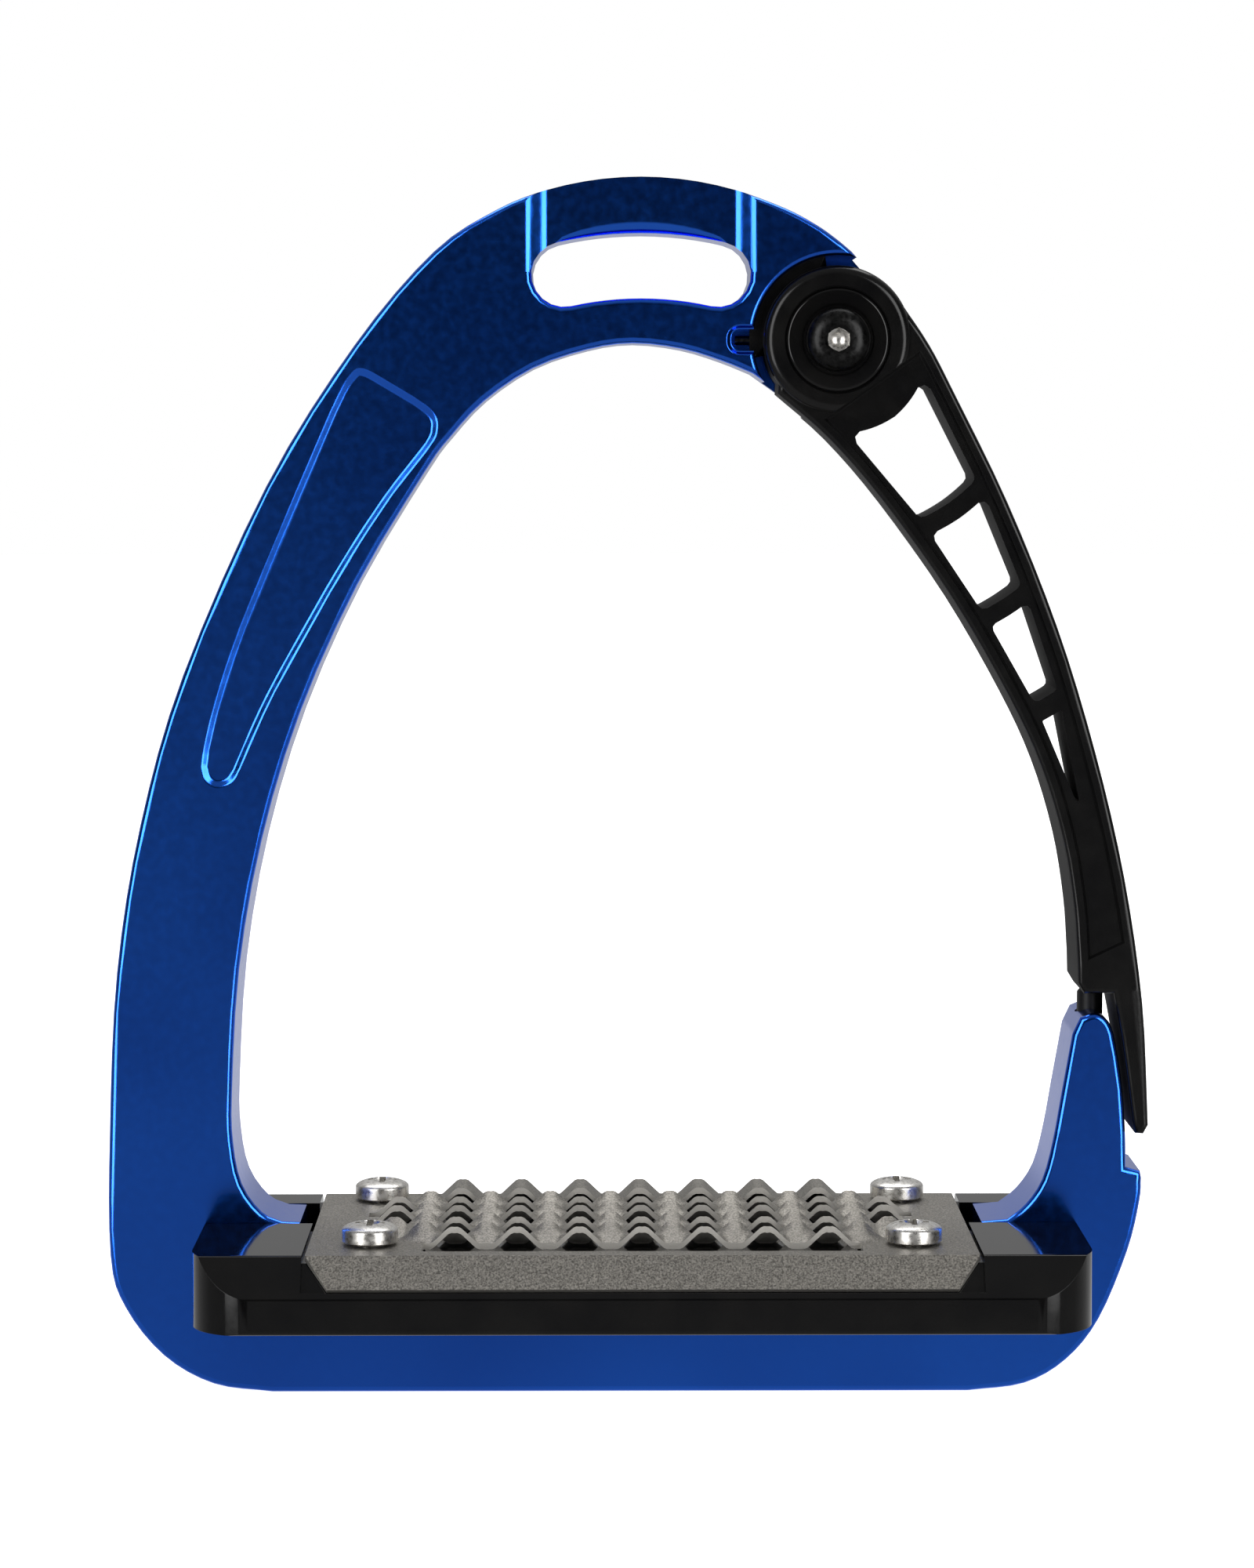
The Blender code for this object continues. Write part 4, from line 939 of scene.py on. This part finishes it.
# %% Plate sheet
def grip_sheet():
    half_steps = STEPS * (COLUMNS + 2) // 2
    xs = [PITCH * k / STEPS for k in range(-half_steps, half_steps + 1)]
    xs = [-PLATE_HALF, -PLATE_HALF + TAPER] + xs + [PLATE_HALF - TAPER, PLATE_HALF]
    narrow = PITCH * COLUMNS / 2
    wide = narrow + PITCH
    rows = [(PLATE_FRONT_EDGE, None, 0.0), (TOP_FRONT, None, 0.0), (WINDOW_FRONT, None, 0.0)]
    for k, (front, back) in enumerate(RIBBONS):
        for j in range(RIBBON_STEPS + 1):
            t = j / RIBBON_STEPS
            rows.append((front + (back - front) * t, k, t))
    rows += [(TOP_BACK, None, 0.0), (PLATE_BACK_EDGE, None, 0.0)]

    def height(x, ribbon, t):
        if ribbon is None:
            return 0.0
        reach = wide if ribbon in WIDE_RIBBONS else narrow
        front = tooth(x, 0.0) if abs(x) <= reach + 0.01 else 0.0
        if ribbon == len(RIBBONS) - 1:
            back = front
        else:
            back = tooth(x, 0.5) if abs(x) < narrow + 0.6 * PITCH else 0.0
        return front * (1 - t) + back * t

    def open_cell(x, row):
        ribbon_here, ribbon_next = rows[row][1], rows[row + 1][1]
        between_ribbons = ribbon_here is not None and ribbon_next is not None and ribbon_next != ribbon_here
        if not (between_ribbons or row == 2):
            return False
        reaches = [wide if k in WIDE_RIBBONS else narrow for k in (ribbon_here, ribbon_next) if k is not None]
        return abs(x) < min(reaches) - 0.01

    upper, lower = [], []
    tilt = math.tan(math.atan2(bevel.y, bevel.x) / 2)
    for row, (y, ribbon, t) in enumerate(rows):
        flange = row in (0, len(rows) - 1)
        fold = row in (1, len(rows) - 2)
        way = -1 if row < 3 else 1
        for x in xs:
            at_x = x
            if flange and abs(x) > PLATE_HALF - TAPER - 0.01:
                at_x = math.copysign(PLATE_HALF - TAPER - (0.0 if abs(x) > PLATE_HALF - 0.1 else 0.8), x)
            z = TREAD_TOP - (FLANGE_DROP if flange else 0.0) + height(x, ribbon, t)
            upper.append((at_x, y, z))
            if flange:
                lower.append((at_x, y - way * bevel.y * SHEET, z - bevel.x * SHEET))
            else:
                lower.append((at_x, y - (way * SHEET * tilt if fold else 0.0), z - SHEET))
    faces, rims = [], {}
    across, under = len(xs), len(upper)
    for row in range(len(rows) - 1):
        for column in range(across - 1):
            if open_cell((xs[column] + xs[column + 1]) / 2, row):
                continue
            a = row * across + column
            ring = (a, a + 1, a + 1 + across, a + across)
            faces.append(ring)
            faces.append(tuple(under + k for k in reversed(ring)))
            for start, end in zip(ring, ring[1:] + ring[:1]):
                if (end, start) in rims:
                    del rims[(end, start)]
                else:
                    rims[(start, end)] = True
    faces += [(start, under + start, under + end, end) for start, end in rims]
    return mesh_from(upper + lower, faces)


grip = link("grip_sheet", grip_sheet())
carve(grip, [slab(circle(at, 2.3, 32), [], TREAD_TOP - 3, TREAD_TOP + 1, 0.0, "Z") for at in TREAD_SCREWS])
dress(grip, "grip_plate", BLASTED, 40.0)

# %% [markdown]
# ## Screws, nuts and the hidden parts
# Four pan-head screws hold the plate. Their heads are lathe work again, with a cross recess whose arms narrow
# outwards and a drilled cone in the middle. The other small parts keep the working model's own shape. The
# bearing and the spring stay as they are; the rest get eased edges, as tumbling leaves them.

# %% Pan-head screws
def cross(at, half, arm, tip):
    x, y = at
    corners = [(half, -tip), (half, tip), (arm, arm), (tip, half), (-tip, half), (-arm, arm)]
    corners += [(-half, tip), (-half, -tip), (-arm, -arm), (-tip, -half), (tip, -half), (arm, -arm)]
    return [(x + a, y + b) for a, b in corners]


def pan_screw(number, at):
    node = f"tread_screw_{number}"
    low, high = span(node, Z)
    seat = TREAD_TOP + 0.3
    side = 1.75
    dome = high - seat - side
    profile = [(0, low), (1.7, low), (2.0, low + 0.3), (2.0, seat), (3.75, seat), (4.0, seat + 0.25)]
    turn = [math.radians(a) for a in range(90, 0, -9)]
    for a in turn:
        height = dome * math.cos(a) * (1.0 - 0.08 * math.sin(a))
        profile.append((1.2 + 2.8 * math.sin(a), seat + side + height))
    profile.append((0, high))
    piece = link(f"pan_screw_{number}", lathe(profile, at, "Z", 64))
    recess = slab(cross(at, 2.1, 0.55, 0.42), [], seat + 1.2, seat + 5, 0.0, "Z")
    cone = lathe([(0, high + 1), (1.5, high + 1), (1.5, high - 0.1), (0, high - 1.2)], at, "Z", 32)
    carve(piece, [recess, cone])
    clean(piece)
    ease_edges(piece, 0.08, 35.0, 2)
    return dress(piece, node, STAINLESS, 40.0)


for number, at in enumerate(TREAD_SCREWS, 1):
    pan_screw(number, at)

# %% Nuts, bearing, washer, spring and stud
EASED = {
    "pivot_nut": 0.15, "thrust_washer": 0.1, "latch_stud": 0.12, "bar_screw_1": 0.1, "bar_screw_2": 0.1,
    "tread_nut_1": 0.15, "tread_nut_2": 0.15, "tread_nut_3": 0.15, "tread_nut_4": 0.15,
    "pivot_bush": 0.0, "torsion_spring": 0.0,
}
for node, width in EASED.items():
    piece = copy_of(node, f"{node}_finished")
    if width:
        ease_edges(piece, width, 40.0, 2)
    dress(piece, node, FINISH[SLOT[node]], 50.0)

# %% [markdown]
# ## Studio
# The stirrup stands on a pale light table. Two tall soft boxes beside the camera draw the upright bands on
# every rounded edge and light the flanks of the teeth. A third hangs above and behind, for the crowns of the
# teeth and the screws. A soft glow behind gives the inner walls and the tread something grey to reflect.
# The flat faces look back past the camera into the dark, which keeps the blue and the black deep.

# %% Light table
def light_table():
    mesh = bpy.data.meshes.new("light_table")
    work = bmesh.new()
    bmesh.ops.create_circle(work, cap_ends=True, segments=96, radius=4.0)
    work.to_mesh(mesh)
    work.free()
    table = link("light_table", mesh)
    table.location.z = -0.0002
    white, tree, shader = finish("light_table", 0.9)
    shader.inputs["Emission Strength"].default_value = TABLE_GLOW
    pale = ramp(tree, grain(tree, 3.0, 1.0), [(0.3, (0.86, 0.86, 0.86)), (0.7, (0.9, 0.9, 0.9))])
    tree.links.new(pale, shader.inputs["Base Color"])
    shader.inputs["Emission Color"].default_value = (1.0, 1.0, 1.0, 1.0)
    mesh.materials.append(white)
    table.visible_glossy = False
    table.visible_shadow = False


TABLE_GLOW = 0.95
light_table()
print("light table glows at", TABLE_GLOW)

# %% Soft boxes and the room
BOX_GLOW, BOX_SIZE = 4.6, (0.75, 1.5)
BACK_GLOW, BACK_SIZE = 3.5, (1.3, 0.6)


def soft_box(name, azimuth, height, distance, size, brightness):
    """A rectangular light aimed at the stirrup; azimuth is measured from the camera's side."""
    lamp = bpy.data.lights.new(name, "AREA")
    lamp.shape = "RECTANGLE"
    lamp.size, lamp.size_y = size
    lamp.energy = brightness * math.pi * size[0] * size[1]
    made = link(name, lamp)
    turn = math.radians(azimuth)
    made.location = (distance * math.sin(turn), -distance * math.cos(turn), height)
    made.rotation_mode = "QUATERNION"
    made.rotation_quaternion = (Vector((0, 0, 0.09)) - made.location).to_track_quat("-Z", "Y")
    return made


soft_box("left_box", -38, 0.4, 1.6, BOX_SIZE, BOX_GLOW)
soft_box("right_box", 38, 0.4, 1.6, BOX_SIZE, BOX_GLOW)
soft_box("back_box", 180, 1.3, 0.4, BACK_SIZE, BACK_GLOW)


def room():
    """Glow behind, above and from the table, dark in front; the camera itself sees plain white."""
    world = bpy.data.worlds.new("studio")
    bpy.context.scene.world = world
    world.use_nodes = True
    tree = world.node_tree
    glow = tree.nodes["Background"]
    place = tree.nodes.new("ShaderNodeTexCoord")
    parts = tree.nodes.new("ShaderNodeSeparateXYZ")
    tree.links.new(place.outputs["Generated"], parts.inputs["Vector"])
    behind = between(tree, parts.outputs["Y"], 0.0, BEHIND, -0.1, 0.8)
    above = between(tree, parts.outputs["Z"], 0.0, ABOVE, 0.35, 0.9)
    below = between(tree, parts.outputs["Z"], BELOW, 0.02, -0.3, 0.03)
    total = sums(tree, "ADD", sums(tree, "ADD", behind, above), below)
    tree.links.new(total, glow.inputs["Strength"])
    glow.inputs["Color"].default_value = (1.0, 1.0, 1.0, 1.0)
    seen = tree.nodes.new("ShaderNodeLightPath")
    white = tree.nodes.new("ShaderNodeBackground")
    mixed = tree.nodes.new("ShaderNodeMixShader")
    tree.links.new(seen.outputs["Is Camera Ray"], mixed.inputs["Fac"])
    tree.links.new(glow.outputs["Background"], mixed.inputs[1])
    tree.links.new(white.outputs["Background"], mixed.inputs[2])
    white.inputs["Color"].default_value = (1.0, 1.0, 1.0, 1.0)
    tree.links.new(mixed.outputs["Shader"], tree.nodes["World Output"].inputs["Surface"])


BEHIND, ABOVE, BELOW = 0.38, 0.3, 0.34
room()
bpy.context.scene.view_settings.view_transform = "Standard"
print("studio lit")

# %% [markdown]
# ## Camera
# A long lens from 0.6 m, two centimetres lower than the leather slot and looking five degrees down. Its
# direction is written as two small slopes, which keeps the lens unshifted.

# %% Camera
def camera():
    lens = bpy.data.cameras.new("camera")
    lens.sensor_width = 36.0
    lens.lens = 94.28
    made = link("camera", lens)
    made.location = Vector((-6.55, -599.5, 140.89)) * MM
    ahead = Vector((0.0076, 0.9962, -0.0865)).normalized()
    made.rotation_mode = "QUATERNION"
    made.rotation_quaternion = ahead.to_track_quat("-Z", "Y")
    bpy.context.scene.camera = made
    print("camera at", [round(v, 3) for v in made.location])


camera()
